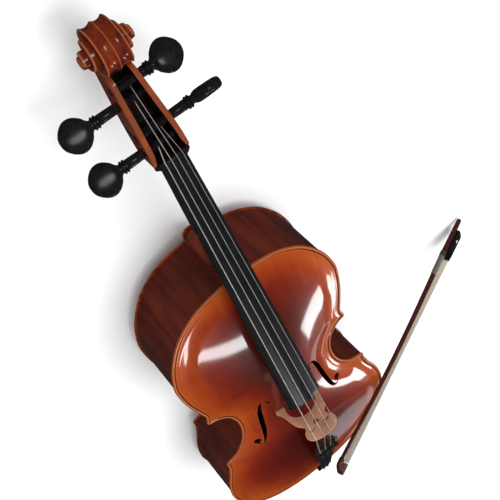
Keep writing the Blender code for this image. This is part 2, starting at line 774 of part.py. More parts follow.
def make_strings(cello, stuff):
    pegs = {name: (y, z) for name, y, z, *_ in PEGS}
    for name, radius, place in STRINGS:
        y, z = pegs[name]
        clear = radius + GAP
        at_nut = place * STRING_SPREAD_AT_NUT
        at_bridge = place * STRING_SPREAD_AT_BRIDGE
        start = Vector((at_nut * 0.55, y, z + 6.2 * MM + clear))
        nut_back = Vector((at_nut, NUT_Y + NUT_DEPTH + GAP, nut_top(at_nut) + clear + 0.1 * MM))
        nut_front = Vector((at_nut, NUT_Y, nut_top(at_nut) + clear + 0.1 * MM))
        bridge = Vector((at_bridge, BRIDGE_Y, bridge_crest(at_bridge) + clear + 0.3 * MM))
        path = [start, nut_back, nut_front, bridge, hook_point(place)]
        add(f"string_{name}", tube(path, radius), cello, stuff["string_steel"])


def tailpiece_half(y):
    """Half width of the tailpiece at a distance below its top end."""
    stations = ((0, 26), (3, 28.5), (18, 28), (90, 21.5), (165, 16), (205, 14), (222, 12), (228, 8))
    below = -y / MM
    for (y0, half0), (y1, half1) in zip(stations, stations[1:]):
        if y0 <= below <= y1:
            return (half0 + (half1 - half0) * (below - y0) / (y1 - y0)) * MM
    raise ValueError("past the tailpiece")


def make_tailpiece(tailpiece, stuff):
    sections = []
    for below in (0, 3, 18, 90, 165, 205, 222, 228):
        half = tailpiece_half(-below * MM)
        ring = []
        for i in range(7):
            x = half * (1 - i / 3)
            ring.append((x, -below * MM, (1 - (x / half) ** 2) * 4 * MM))
        ring += [(-half, -below * MM, -4 * MM), (half, -below * MM, -4 * MM)]
        sections.append(ring)
    body = add("tailpiece", loft(sections), tailpiece, stuff["ebony"])
    for name, _, place in STRINGS:
        at = (tuner_x(place), -20 * MM, -10 * MM)
        hole = turned(at, "Z", ((0, 2.1 * MM), (20 * MM, 2.1 * MM)), 8)
        combine(body, helper(f"tuner_hole_{name}", hole, tailpiece), "DIFFERENCE")


def make_fine_tuners(tailpiece, stuff):
    """Each tuner is a knurled screw through the tailpiece and the lever that it presses."""
    for name, _, place in STRINGS:
        x = tuner_x(place)
        screw = ((-7.2, 1.6), (4.6, 1.6), (4.7, 4.4), (6.2, 4.9), (10.2, 4.9), (11.5, 4.0))
        stations = [(z * MM, r * MM) for z, r in screw]
        at = (x, -20 * MM, 0)
        add(f"tuner_screw_{name}", turned(at, "Z", stations, 10), tailpiece, stuff["black_plastic"], at)
        side = ((-24, -9), (-24, -7.5), (-16, -7.5), (-8, -6), (1.5, -5), (2.2, 3.2), (5.4, 3.2), (5.2, -7), (-3, -9.5), (-16, -9.8))
        half = 2.6 * MM
        sections = [[(x + s * half, y * MM, z * MM) for y, z in side] for s in (-1, 1)]
        add(f"tuner_lever_{name}", loft(sections), tailpiece, stuff["black_plastic"], (x, -4 * MM, -7 * MM))


def make_saddle(cello, stuff):
    half = 18 * MM
    side = ((0.6, -4.2), (8, -4.2), (8, 5.5), (5.5, 8.2), (1.5, 8.2), (0.6, 6.5))
    sections = [[(x, y * MM, z * MM) for y, z in side] for x in (-half, half)]
    add("saddle", loft(sections), cello, stuff["ebony"])


def make_tail_cord(cello, stuff):
    """The cord from the tailpiece over the saddle and round the neck of the endpin's plug."""
    down = [(5, 15.6, 11.6), (5, 9, 10.6), (5, 2, 10.5), (5, -1.6, 8.6), (5.4, -3.2, 4), (6.4, -3.2, -20), (8.4, -3.2, -46)]
    strand = [tuple(c * MM for c in p) for p in down]
    radius = PLUG_NECK_RADIUS + CORD_RADIUS + GAP + 0.3 * MM
    loop = []
    for i in range(9):
        angle = math.pi * i / 8
        loop.append((radius * math.cos(angle), -3.2 * MM, MID_RIB_Z - radius * math.sin(angle)))
    back = [(-x, y, z) for x, y, z in strand][::-1]
    add("tail_cord", tube(strand + loop + back, CORD_RADIUS), cello, stuff["black_plastic"])


# ---------------------------------------------------------------- endpin


def make_plug_bore(cello):
    bore = turned((0, -5 * MM, MID_RIB_Z), "Y", ((0, 13.4 * MM), (80 * MM, 13.4 * MM)), 24)
    helper("plug_bore", bore, cello)


def make_endpin(cello, stuff):
    at = (0, 0, MID_RIB_Z)
    plug = ((-30, 10), (-28.5, 11.5), (-14, 11.5), (-13.5, 14.5), (-8, 14.5), (-7.8, 8), (-1.5, 8), (-1.2, 12.6), (44, 12.2))
    stations = [(y * MM, r * MM) for y, r in plug]
    body = add("endpin_plug", hollow_turned(at, "Y", stations, ROD_RADIUS + GAP, 24), cello, stuff["ebony"])
    screw_at = (0, -21 * MM, MID_RIB_Z)
    hole = turned(screw_at, "X", ((3 * MM, 2.6 * MM), (20 * MM, 2.6 * MM)), 10)
    combine(body, helper("thumbscrew_hole", hole, cello), "DIFFERENCE")
    rod = ((-52, 0.8), (-40, ROD_RADIUS / MM), (425, ROD_RADIUS / MM))
    rod_stations = [(y * MM, r * MM) for y, r in rod]
    add("endpin_rod", turned(at, "Y", rod_stations, 16), cello, stuff["bright_steel"], at)
    screw = ((5.8, 2.2), (13.5, 2.2), (14, 4), (15, 6.5), (21, 6.5), (22, 5.5))
    screw_stations = [(x * MM, r * MM) for x, r in screw]
    add("endpin_thumbscrew", turned(screw_at, "X", screw_stations, 12), cello, stuff["bright_steel"], screw_at)


# ---------------------------------------------------------------- bow


def bow_matrix():
    """Axes of the bow: X from its tip to its button, Z towards the hair."""
    tip, end = Vector(BOW_TIP), Vector(BOW_END)
    along = (end - tip).normalized()
    up = (Vector((0, 0, 1)) - along * along.z).normalized()
    up.rotate(Quaternion(along, BOW_ROLL))
    across = up.cross(along)
    matrix = Matrix((along, across, up)).transposed().to_4x4()
    matrix.translation = tip
    return matrix


BOW_LENGTH = math.dist(BOW_TIP, BOW_END)
FROG_FRONT = BOW_LENGTH - 87 * MM
FROG_BACK = BOW_LENGTH - 26 * MM
BUTTON_LENGTH = 16 * MM
SCREW_LENGTH = 48 * MM
EYELET_PLACE = BOW_LENGTH - 54 * MM


def stick_z(s):
    """The stick's camber: it bends towards the hair between the head and the frog."""
    share = min(1.0, max(0.0, (s - 12 * MM) / (FROG_FRONT - 12 * MM)))
    return BOW_CAMBER * math.sin(math.pi * share) ** 1.2


def stick_radius(s):
    share = min(1.0, max(0.0, s / (BOW_LENGTH * 0.75)))
    return STICK_RADIUS_AT_TIP + (STICK_RADIUS_AT_END - STICK_RADIUS_AT_TIP) * share


def stick_section(s, radius, sides=10):
    return [(s, y, z) for _, y, z in ring_points((s, 0, stick_z(s)), radius, sides, "X")]


def make_stick(bow, stuff):
    end = BOW_LENGTH - BUTTON_LENGTH - GAP
    places = [8 * MM + (end - 8 * MM) * i / 18 for i in range(19)]
    stick = add("bow_stick", loft([stick_section(s, stick_radius(s)) for s in places]), bow, stuff["bow_wood"])
    top = HAIR_HEIGHT / MM
    side = (
        (-2, top), (0, 16), (3, 6), (9, -3), (16, -4.4), (28, -4.2), (28, 4.2), (21, 7.5), (18.5, 14), (21, 22), (24, top),
    )
    sections = [[(s * MM, half, z * MM) for s, z in side] for half in (-HEAD_HALF, HEAD_HALF)]
    combine(stick, helper("bow_head", loft(sections), bow), "UNION")
    bore = turned((end - SCREW_LENGTH - 3 * MM, 0, 0), "X", ((0, 1.9 * MM), (SCREW_LENGTH + 10 * MM, 1.9 * MM)), 12)
    combine(stick, helper("screw_bore", bore, bow), "DIFFERENCE")
    mortise = box((EYELET_PLACE - 5 * MM, -2.6 * MM, -2.6 * MM), (EYELET_PLACE + 12 * MM, 2.6 * MM, 10 * MM))
    combine(stick, helper("eyelet_mortise", mortise, bow), "DIFFERENCE")
    plate_side = [(-2.5, top + 0.3), (24.3, top + 0.3), (24.3, top + 1.5), (-3, top + 1.5)]
    face = [[(s * MM, half, z * MM) for s, z in plate_side] for half in (-HEAD_HALF, HEAD_HALF)]
    add("bow_head_plate", loft(face), bow, stuff["pearl"])


def make_sleeves(bow, stuff):
    """The silver lapping and the leather thumb grip, as sleeves round the stick."""
    lapping = (FROG_FRONT - 62 * MM, FROG_FRONT - 14 * MM)
    grip = (FROG_FRONT - 13.5 * MM, FROG_FRONT - 2 * MM)
    sleeves = (("bow_lapping", lapping, 0.9 * MM, "bright_steel"), ("bow_thumb_grip", grip, 1.3 * MM, "leather"))
    for name, (low, high), proud, slot in sleeves:
        rings = []
        for extra in (GAP * 1.5, proud):
            stops = (low, (low + high) / 2, high) if extra == proud else (high, (low + high) / 2, low)
            rings += [stick_section(s, stick_radius(s) + extra) for s in stops]
        points = [p for ring in rings for p in ring]
        faces = []
        for i in range(len(rings)):
            for j in range(10):
                k = (j + 1) % 10
                here, there = i * 10, (i + 1) % len(rings) * 10
                faces.append((here + j, here + k, there + k, there + j))
        add(name, facing_out(points, faces), bow, stuff[slot])


def make_frog(bow, stuff):
    low = STICK_RADIUS_AT_END + GAP
    top = HAIR_HEIGHT + 3 * MM
    side = (
        (FROG_FRONT, low), (FROG_BACK, low), (FROG_BACK, top - 9 * MM), (FROG_BACK - 4 * MM, top - 1.5 * MM),
        (FROG_BACK - 8 * MM, top), (FROG_FRONT, top), (FROG_FRONT, top - 5.5 * MM),
        (FROG_FRONT + 9 * MM, top - 9 * MM), (FROG_FRONT + 6 * MM, low + 3 * MM),
    )
    sections = [[(s, half, z) for s, z in side] for half in (-FROG_HALF, FROG_HALF)]
    add("bow_frog", loft(sections), bow, stuff["ebony"])
    ferrule_low, ferrule_top = top - 5.5 * MM, top
    ferrule = box((FROG_FRONT - 11 * MM, -FROG_HALF, ferrule_low), (FROG_FRONT - GAP, FROG_HALF, ferrule_top))
    ring = add("bow_ferrule", ferrule, bow, stuff["bright_steel"])
    mouth_half = FROG_HALF - 0.9 * MM
    mouth_low, mouth_high = ferrule_low + 0.9 * MM, ferrule_top - 0.9 * MM
    mouth = box((FROG_FRONT - 12 * MM, -mouth_half, mouth_low), (FROG_FRONT + 1 * MM, mouth_half, mouth_high))
    combine(ring, helper("ferrule_mouth", mouth, bow), "DIFFERENCE")
    slide = box((FROG_FRONT + 1 * MM, -6.5 * MM, top + GAP), (FROG_BACK - 9 * MM, 6.5 * MM, top + 1.2 * MM))
    add("bow_pearl_slide", slide, bow, stuff["pearl"])
    for side_sign, word in ((-1, "near"), (1, "far")):
        at = (FROG_FRONT + 38 * MM, side_sign * (FROG_HALF + GAP), low + 10 * MM)
        disc = turned(at, "Y", ((0, 4.6 * MM), (side_sign * 0.8 * MM, 4.6 * MM)), 14)
        add(f"bow_frog_eye_{word}", disc, bow, stuff["pearl"])


def make_hair(bow, stuff):
    """The ribbon of hair from the head to the frog's face, inside the ferrule."""
    start, end = 25 * MM, FROG_FRONT - 0.8 * MM
    sections = []
    for s, half in ((start, HAIR_HALF_AT_HEAD), (end, HAIR_HALF_AT_FROG)):
        low, high = HAIR_HEIGHT - 0.9 * MM, HAIR_HEIGHT + 0.6 * MM
        sections.append([(s, -half, low), (s, half, low), (s, half, high), (s, -half, high)])
    add("bow_hair", loft(sections), bow, stuff["horsehair"])


def make_button(bow, stuff):
    """The button and the screw that it turns, and the eyelet by which the screw draws the frog."""
    at = (BOW_LENGTH - BUTTON_LENGTH, 0, 0)
    profile = ((-48, 1.4), (0, 1.4), (0.05, 5.2), (4, 5.6), (12, 5.4), (16, 3.6))
    stations = [(s * MM, r * MM) for s, r in profile]
    add("bow_screw_button", turned(at, "X", stations, 8), bow, stuff["bright_steel"], at)
    body = box((EYELET_PLACE, -2.2 * MM, -2.3 * MM), (EYELET_PLACE + 4 * MM, 2.2 * MM, STICK_RADIUS_AT_END))
    eyelet = add("bow_frog_eyelet", body, bow, stuff["brass"])
    hole = turned((EYELET_PLACE - 2 * MM, 0, 0), "X", ((0, 1.75 * MM), (8 * MM, 1.75 * MM)), 12)
    combine(eyelet, helper("eyelet_hole", hole, bow), "DIFFERENCE")


# ---------------------------------------------------------------- assembly


def main():
    for old in list(bpy.data.objects):
        bpy.data.objects.remove(old)
    stuff = make_materials()
    cello = frame_empty("cello_frame", Matrix.Translation((CENTRE_LINE_X, LOWER_END_Y, BELLY_EDGE_Z)))
    tailpiece = frame_empty("tailpiece_frame", tailpiece_matrix(), cello)
    bow = frame_empty("bow_frame", bow_matrix(), cello)
    make_heel_notch(cello)
    make_plug_bore(cello)
    make_belly(cello, stuff)
    make_back(cello, stuff)
    make_ribs(cello, stuff)
    make_linings(cello, stuff)
    make_blocks(cello, stuff)
    make_bass_bar(cello, stuff)
    make_sound_post(cello, stuff)
    make_neck(cello, stuff)
    make_fingerboard(cello, stuff)
    make_nut(cello, stuff)
    make_pegs(cello, stuff)
    make_bridge(cello, stuff)
    make_strings(cello, stuff)
    make_tailpiece(tailpiece, stuff)
    make_fine_tuners(tailpiece, stuff)
    make_saddle(cello, stuff)
    make_tail_cord(cello, stuff)
    make_endpin(cello, stuff)
    make_stick(bow, stuff)
    make_sleeves(bow, stuff)
    make_frog(bow, stuff)
    make_hair(bow, stuff)
    make_button(bow, stuff)


main()
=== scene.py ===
"""The looks of the cello and its bow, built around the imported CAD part."""

import math

import bpy
import numpy as np
from mathutils import Matrix, Quaternion, Vector, noise


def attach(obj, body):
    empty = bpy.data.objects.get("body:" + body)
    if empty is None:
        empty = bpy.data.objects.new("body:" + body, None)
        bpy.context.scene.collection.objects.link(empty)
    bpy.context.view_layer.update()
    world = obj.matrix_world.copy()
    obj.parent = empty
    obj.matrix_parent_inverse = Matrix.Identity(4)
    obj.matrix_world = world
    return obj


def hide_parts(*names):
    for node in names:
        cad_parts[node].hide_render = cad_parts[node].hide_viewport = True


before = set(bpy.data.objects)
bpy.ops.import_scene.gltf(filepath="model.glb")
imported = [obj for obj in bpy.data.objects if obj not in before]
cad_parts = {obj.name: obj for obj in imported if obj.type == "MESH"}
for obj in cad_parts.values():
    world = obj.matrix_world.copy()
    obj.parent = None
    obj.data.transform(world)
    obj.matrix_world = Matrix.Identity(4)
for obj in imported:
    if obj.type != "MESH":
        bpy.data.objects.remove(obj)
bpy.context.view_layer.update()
MM = 0.001

# The instrument's own axes in the world, as in the CAD: millimetres, Y from the lower end to the scroll.
ORIGIN = np.array((-0.1894, -0.585, 0.1486))

UPPER_BOUT = (
    (0, 755), (40, 752), (85, 740), (128, 709), (160, 660), (175, 612), (177, 580),
    (173, 540), (164, 500), (158.5, 476), (163, 457),
)
WAIST = (
    (162.5, 450.5), (145, 445), (126, 427), (117, 404), (114.5, 382), (117, 355),
    (126, 327), (144, 303), (160, 295.5), (176.5, 292.5),
)
LOWER_BOUT = (
    (177, 286), (177, 270), (184, 245), (196, 212), (203, 170), (200, 132), (186, 92),
    (158, 56), (115, 26), (60, 7), (0, 0),
)
STRETCH_STEPS = (72, 48, 78)
BODY_LENGTH = 755.0
EDGE = 4.5
OVERHANG = 3.5
BELLY_ARCH = 23.5
BACK_ARCH = 22.0
RIB_THICKNESS = 1.6
BEHIND_RIB = OVERHANG + 2.2
BLOCK_REACH = 30.0
LINING_HEIGHT = 12.0
LINING_THICKNESS = 2.2
RIB_TOP = -4.8
RIB_BOTTOM = -121.8
BACK_TOP = -122.1
MID_RIB = -63.3

# Neck, fingerboard and strings. A string has a radius and its place among the four.
NUT_Y = 1020.0
BOARD_END = 448.0
BOARD_DIAMETER = 132.0
NECK_HALF = 19.3
BRIDGE_Y = 362.0
STRINGS = {"c": (0.9, -1.5), "g": (0.65, -0.5), "d": (0.5, 0.5), "a": (0.4, 1.5)}
SPREAD_AT_NUT = 9.4
SPREAD_AT_BRIDGE = 16.2
SPREAD_AT_TAILPIECE = 13.0

# A peg's place along Y, its height, the side of its head, and how far out its head's middle is.
PEGS = {
    "c": (1048, -31, -1, 62),
    "a": (1066, -41, 1, 62),
    "g": (1110, -61, -1, 66),
    "d": (1128, -68.5, 1, 44),
}


# ---------------------------------------------------------------- curves and lofts


def spline(points, steps):
    """Catmull-Rom curve through the points, as an array."""
    pts = np.array(points, float)
    pts = np.vstack([2 * pts[0] - pts[1], pts, 2 * pts[-1] - pts[-2]])
    made = []
    for i in range(1, len(pts) - 2):
        a, b, c, d = pts[i - 1 : i + 3]
        for t in np.arange(steps) / steps:
            square, cube = 2 * a - 5 * b + 4 * c - d, 3 * b - a - 3 * c + d
            made.append(0.5 * (2 * b + (c - a) * t + square * t**2 + cube * t**3))
    made.append(pts[-2])
    return np.array(made)


def lengths_along(points):
    return np.concatenate([[0], np.cumsum(np.linalg.norm(np.diff(points, axis=0), axis=1))])


def resampled(points, count):
    """The same line as a fixed number of even steps."""
    along = lengths_along(points)
    wanted = np.linspace(0, along[-1], count + 1)
    return np.stack([np.interp(wanted, along, points[:, k]) for k in range(points.shape[1])], axis=1)


def inset(points, distance):
    """The stretch of outline moved towards the inside of the body."""
    tangent = np.gradient(points, axis=0)
    tangent /= np.linalg.norm(tangent, axis=1)[:, None]
    return points + np.stack([tangent[:, 1], -tangent[:, 0]], axis=1) * distance


def lengthened(points, start, end):
    made = points
    if start:
        step = points[0] - points[1]
        made = np.vstack([points[0] + step / np.linalg.norm(step) * start, made])
    if end:
        step = points[-1] - points[-2]
        made = np.vstack([made, points[-1] + step / np.linalg.norm(step) * end])
    return made


def cut_at_crossing(first, second):
    """Two open lines, the first ended and the second started where they cross."""
    for i in range(len(first) - 1, 0, -1):
        a, b = first[i - 1], first[i]
        c, d = second[:-1], second[1:]
        across = (b[0] - a[0]) * (d - c)[:, 1] - (b[1] - a[1]) * (d - c)[:, 0]
        across = np.where(np.abs(across) < 1e-12, 1e-12, across)
        t = ((c - a)[:, 0] * (d - c)[:, 1] - (c - a)[:, 1] * (d - c)[:, 0]) / across
        u = ((c - a)[:, 0] * (b - a)[1] - (c - a)[:, 1] * (b - a)[0]) / across
        hit = np.nonzero((t >= 0) & (t <= 1) & (u >= 0) & (u <= 1))[0]
        if len(hit):
            j = hit[0]
            corner = a + (b - a) * t[j]
            return np.vstack([first[:i], corner]), np.vstack([corner, second[j + 1 :]])
    raise ValueError("these lines don't cross")


def shortened(points, start, end):
    """The line without a given length at each end."""
    along = lengths_along(points)
    low, high = start, along[-1] - end
    inside = (along > low + 1e-6) & (along < high - 1e-6)
    wanted = np.concatenate([[low], along[inside], [high]])
    return np.stack([np.interp(wanted, along, points[:, k]) for k in (0, 1)], axis=1)


def stretches(distance, blunt=0.0):
    """The half outline's three stretches, inset, and ended at the corners or a little before them."""
    upper = lengthened(inset(spline(UPPER_BOUT, 12), distance), 0, 12)
    waist = lengthened(inset(spline(WAIST, 12), distance), 12, 12)
    lower = lengthened(inset(spline(LOWER_BOUT, 12), distance), 12, 0)
    upper, waist = cut_at_crossing(upper, waist)
    waist, lower = cut_at_crossing(waist, lower)
    upper[0, 0] = lower[-1, 0] = 0
    upper = shortened(upper, 0, blunt)
    waist = shortened(waist, blunt, blunt)
    lower = shortened(lower, blunt, 0)
    return [resampled(s, n) for s, n in zip((upper, waist, lower), STRETCH_STEPS)]


def half_loop(distance, blunt=0.0):
    upper, waist, lower = stretches(distance, blunt=blunt)
    return np.vstack([upper, waist, lower])


def outward(points, faces):
    volume = 0.0
    for face in faces:
        a = points[face[0]]
        for i in range(1, len(face) - 1):
            volume += np.dot(a, np.cross(points[face[i]], points[face[i + 1]]))
    return [tuple(reversed(f)) for f in faces] if volume < 0 else faces


def loft(sections, closed=False):
    """Skins a row of sections, each a ring of as many points. A closed row has no caps."""
    rings = np.array(sections, float)
    rows, count = rings.shape[:2]
    faces = []
    for i in range(rows if closed else rows - 1):
        for j in range(count):
            k = (j + 1) % count
            here, there = i * count, (i + 1) % rows * count
            faces.append((here + j, here + k, there + k, there + j))
    if not closed:
        faces.append(tuple(reversed(range(count))))
        faces.append(tuple(range((rows - 1) * count, rows * count)))
    points = rings.reshape(-1, 3)
    return points, outward(points, faces)


def prism(outline, low, high):
    return loft([[(x, y, z) for x, y in outline] for z in (low, high)])


def box(low, high):
    (x0, y0, z0), (x1, y1, z1) = low, high
    return prism([(x0, y0), (x1, y0), (x1, y1), (x0, y1)], z0, z1)


def circle(radius, sides):
    angle = np.linspace(0, 2 * math.pi, sides, endpoint=False)
    return np.stack([radius * np.cos(angle), radius * np.sin(angle)], axis=1)


def turned(centre, axis, stations, sides, closed=False):
    """A turned piece about an axis named by its letter: each station is a distance and a radius.

    A closed row of stations goes out along the outside and comes back along the bore.
    """
    sections = []
    for distance, radius in stations:
        a, b = circle(radius, sides).T
        along = np.full(sides, distance)
        columns = {"X": (along, a, b), "Y": (b, along, a), "Z": (a, b, along)}
        sections.append(np.stack(columns[axis], axis=1) + centre)
    return loft(sections, closed)


def tube(path, radius, sides):
    """A round tube along a path."""
    path = np.array(path, float)
    tangent = np.gradient(path, axis=0)
    tangent /= np.linalg.norm(tangent, axis=1)[:, None]
    side = np.array(Vector(tangent[0]).orthogonal().normalized())
    sections = []
    ring = circle(radius, sides)
    for at, along in zip(path, tangent):
        side = side - along * side.dot(along)
        side /= np.linalg.norm(side)
        other = np.cross(along, side)
        sections.append(at + ring[:, :1] * side + ring[:, 1:] * other)
    return loft(sections)


# ---------------------------------------------------------------- objects


def to_world(points, matrix=None):
    points = np.array(points, float)
    if matrix is not None:
        turn, shift = np.array(matrix)[:3, :3], np.array(matrix)[:3, 3]
        points = points @ turn.T + shift
    return points * MM + ORIGIN


def make(name, shape, matrix=None, angle=30):
    points, faces = shape
    mesh = bpy.data.meshes.new(name)
    mesh.from_pydata(to_world(points, matrix).tolist(), [], [list(map(int, f)) for f in faces])
    made = bpy.data.objects.new(name, mesh)
    bpy.context.scene.collection.objects.link(made)
    smooth(made, angle)
    return made


def smooth(made, angle):
    made.data.shade_smooth()
    if angle:
        made.data.set_sharp_from_angle(angle=math.radians(angle))


def show(made, material, body, nodes=()):
    """Gives a piece its material and body, and hides the CAD nodes that it stands for."""
    made.data.materials.clear()
    made.data.materials.append(material)
    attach(made, body)
    if nodes:
        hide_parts(*nodes)
    return made


def apply_modifiers(made):
    graph = bpy.context.evaluated_depsgraph_get()
    mesh = bpy.data.meshes.new_from_object(made.evaluated_get(graph))
    made.modifiers.clear()
    made.data = mesh


def boolean(target, tools, operation):
    """Joins or cuts with each tool, then removes the tools."""
    for tool in tools:
        modifier = target.modifiers.new("cut", "BOOLEAN")
        modifier.operation = operation
        modifier.solver = "EXACT"
        modifier.object = tool
    bpy.context.view_layer.update()
    apply_modifiers(target)
    for tool in tools:
        bpy.data.objects.remove(tool)


def bevel(made, width, segments=2):
    modifier = made.modifiers.new("bevel", "BEVEL")
    modifier.width = width * MM
    modifier.segments = segments
    modifier.limit_method = "ANGLE"
    modifier.angle_limit = math.radians(40)
    bpy.context.view_layer.update()
    apply_modifiers(made)
    smooth(made, 40)


def attribute(made, name, values):
    layer = made.data.attributes.new(name, "FLOAT", "POINT")
    layer.data.foreach_set("value", np.asarray(values, np.float32))


def places(made):
    """The mesh's points in the instrument's axes, in millimetres."""
    co = np.empty(len(made.data.vertices) * 3, np.float32)
    made.data.vertices.foreach_get("co", co)
    return (co.reshape(-1, 3).astype(float) - ORIGIN) / MM


# ---------------------------------------------------------------- materials


class Shader:
    """A material with short calls for its nodes."""

    def __init__(self, name, roughness=0.4, metallic=0.0, coat=0.0, coat_roughness=0.05, specular=0.5):
        self.material = bpy.data.materials.new(name)
        self.material.use_nodes = True
        self.tree = self.material.node_tree
        self.bsdf = self.tree.nodes["Principled BSDF"]
        self.bsdf.inputs["Roughness"].default_value = roughness
        self.bsdf.inputs["Metallic"].default_value = metallic
        self.bsdf.inputs["Coat Weight"].default_value = coat
        self.bsdf.inputs["Coat Roughness"].default_value = coat_roughness
        self.bsdf.inputs["Specular IOR Level"].default_value = specular

    def add(self, kind, settings=None, **inputs):
        node = self.tree.nodes.new(kind)
        for key, value in (settings or {}).items():
            setattr(node, key, value)
        for key, value in inputs.items():
            self.set(node.inputs[key.replace("_", " ")], value)
        return node

    def set(self, socket, value):
        if isinstance(value, bpy.types.NodeSocket):
            self.tree.links.new(value, socket)
        else:
            socket.default_value = value

    def place(self, scale=(1, 1, 1), turn=(0, 0, 0)):
        coordinates = self.add("ShaderNodeTexCoord").outputs["Object"]
        mapping = self.add("ShaderNodeMapping", Vector=coordinates)
        mapping.inputs["Scale"].default_value = scale
        mapping.inputs["Rotation"].default_value = turn
        return mapping.outputs["Vector"]

    def noise(self, vector, scale, detail=3.0, rough=0.5, distortion=0.0):
        settings = {"Scale": scale, "Detail": detail, "Roughness": rough, "Distortion": distortion}
        return self.add("ShaderNodeTexNoise", Vector=vector, **settings).outputs["Fac"]

    def attribute(self, name):
        return self.add("ShaderNodeAttribute", {"attribute_name": name}).outputs["Fac"]

    def point(self, x, y):
        return self.add("ShaderNodeCombineXYZ", X=x, Y=y).outputs["Vector"]

    def ramp(self, value, stops, smooth_steps=False):
        node = self.add("ShaderNodeValToRGB", Fac=value)
        ramp = node.color_ramp
        ramp.interpolation = "EASE" if smooth_steps else "LINEAR"
        while len(ramp.elements) < len(stops):
            ramp.elements.new(0.5)
        for element, (at, colour) in zip(ramp.elements, stops):
            element.position = at
            element.color = (*colour, 1)
        return node.outputs["Color"]

    def range(self, value, low, high, to_low=0.0, to_high=1.0):
        node = self.add("ShaderNodeMapRange", Value=value)
        for key, number in {"From Min": low, "From Max": high, "To Min": to_low, "To Max": to_high}.items():
            node.inputs[key].default_value = number
        return node.outputs["Result"]

    def math(self, operation, a, b=0.0):
        node = self.add("ShaderNodeMath", {"operation": operation})
        self.set(node.inputs[0], a)
        self.set(node.inputs[1], b)
        return node.outputs["Value"]

    def mix(self, factor, a, b, blend="MIX"):
        node = self.add("ShaderNodeMix", {"data_type": "RGBA", "blend_type": blend})
        self.set(node.inputs[0], factor)
        for socket, value in ((node.inputs[6], a), (node.inputs[7], b)):
            self.set(socket, (*value, 1) if isinstance(value, tuple) else value)
        return node.outputs[2]

    def darkened(self, base, factor, value, stops):
        """The base times a ramp of greys and tints."""
        return self.mix(factor, base, self.ramp(value, stops), "MULTIPLY")

    def finish(self, colour, bump=None, strength=0.1, distance=0.0002, roughness=None):
        self.set(self.bsdf.inputs["Base Color"], colour)
        if bump is not None:
            node = self.add("ShaderNodeBump", Height=bump, Strength=strength, Distance=distance)
            self.tree.links.new(node.outputs["Normal"], self.bsdf.inputs["Normal"])
        if roughness is not None:
            self.set(self.bsdf.inputs["Roughness"], roughness)
        return self.material


PORE_TINTS = ((0.38, (0.6, 0.5, 0.45)), (0.58, (1, 1, 1)))


def spruce_varnish():
    """Varnish over spruce: orange near the edge, deep red in the middle, with fine straight grain."""
    s = Shader("varnished_spruce", roughness=0.3, coat=1.0, coat_roughness=0.07, specular=0.15)
    edge = s.attribute("edge")
    cloud = s.noise(s.place(), 9.0, 3)
    shifted = s.math("ADD", edge, s.range(cloud, 0.3, 0.7, -16, 16))
    depth = s.range(shifted, 6, 118)
    orange, amber = (0.37, 0.060, 0.002), (0.29, 0.034, 0.001)
    red, dark_red = (0.165, 0.009, 0.0005), (0.08, 0.003, 0.0003)
    base = s.ramp(depth, ((0.0, orange), (0.24, amber), (0.55, red), (1.0, dark_red)))
    fine = s.noise(s.place((620, 7, 7)), 1.0, 2)
    base = s.darkened(base, 0.55, fine, ((0.36, (0.72, 0.62, 0.55)), (0.6, (1.0, 1.0, 1.0))))
    wide = s.noise(s.place((70, 3, 3)), 1.0, 2)
    base = s.darkened(base, 0.35, wide, ((0.35, (0.72, 0.66, 0.6)), (0.65, (1.1, 1.1, 1.1))))
    worn, crest = (0.24, 0.05, 0.012), (0.42, 0.11, 0.025)
    groove, rise = (0.34, 0.08, 0.018), (0.42, 0.082, 0.01)
    rim = s.ramp(s.range(edge, 0, 10), ((0.0, worn), (0.3, crest), (0.42, groove), (0.7, rise)))
    base = s.mix(s.range(edge, 5.0, 10.0), rim, base)
    black, brown, clear = (0.06, 0.02, 0.01), (0.09, 0.02, 0.01), (1, 1, 1)
    purfling = ((0.22, clear), (0.28, black), (0.7, brown), (0.78, clear))
    base = s.darkened(base, 0.92, s.range(edge, 3.0, 8.0), purfling)
    return s.finish(base, fine, 0.05, 0.0001)


def maple_varnish(name, light, dark):
    """Varnish over flamed maple: soft bars across the grain, and short fine pores along it."""
    s = Shader(name, roughness=0.3, coat=1.0, coat_roughness=0.07, specular=0.2)
    flame = s.noise(s.place((8, 95, 8)), 1.0, 2, 0.5, 0.6)
    pore = s.noise(s.place((520, 22, 520)), 1.0, 2)
    base = s.ramp(flame, ((0.36, dark), (0.64, light)), True)
    base = s.darkened(base, 0.4, pore, ((0.38, (0.62, 0.5, 0.45)), (0.58, (1, 1, 1))))
    cloud = s.noise(s.place(), 14.0, 3)
    base = s.darkened(base, 0.5, cloud, ((0.3, (0.6, 0.5, 0.5)), (0.7, (1.1, 1.1, 1.1))))
    return s.finish(base, pore, 0.04, 0.0001)


def rib_varnish():
    """Varnish over bent maple: flame bars stand up and down the rib, and pores run along it."""
    s = Shader("varnished_ribs", roughness=0.3, coat=1.0, coat_roughness=0.08, specular=0.3)
    run, height = s.attribute("run"), s.attribute("height")
    bars = s.point(s.math("MULTIPLY", run, 0.06), s.math("MULTIPLY", height, 0.006))
    flame = s.noise(bars, 1.0, 2, 0.5, 0.5)
    dashes = s.point(s.math("MULTIPLY", run, 0.03), s.math("MULTIPLY", height, 0.9))
    pore = s.noise(dashes, 1.0, 2)
    cloud = s.noise(s.place(), 9.0, 3)
    base = s.ramp(flame, ((0.3, (0.062, 0.008, 0.004)), (0.7, (0.10, 0.014, 0.006))), True)
    base = s.darkened(base, 0.2, pore, PORE_TINTS)
    base = s.darkened(base, 0.6, cloud, ((0.3, (0.5, 0.45, 0.45)), (0.7, (1.5, 1.3, 1.2))))
    return s.finish(base, cloud, 0.01, 0.0001)


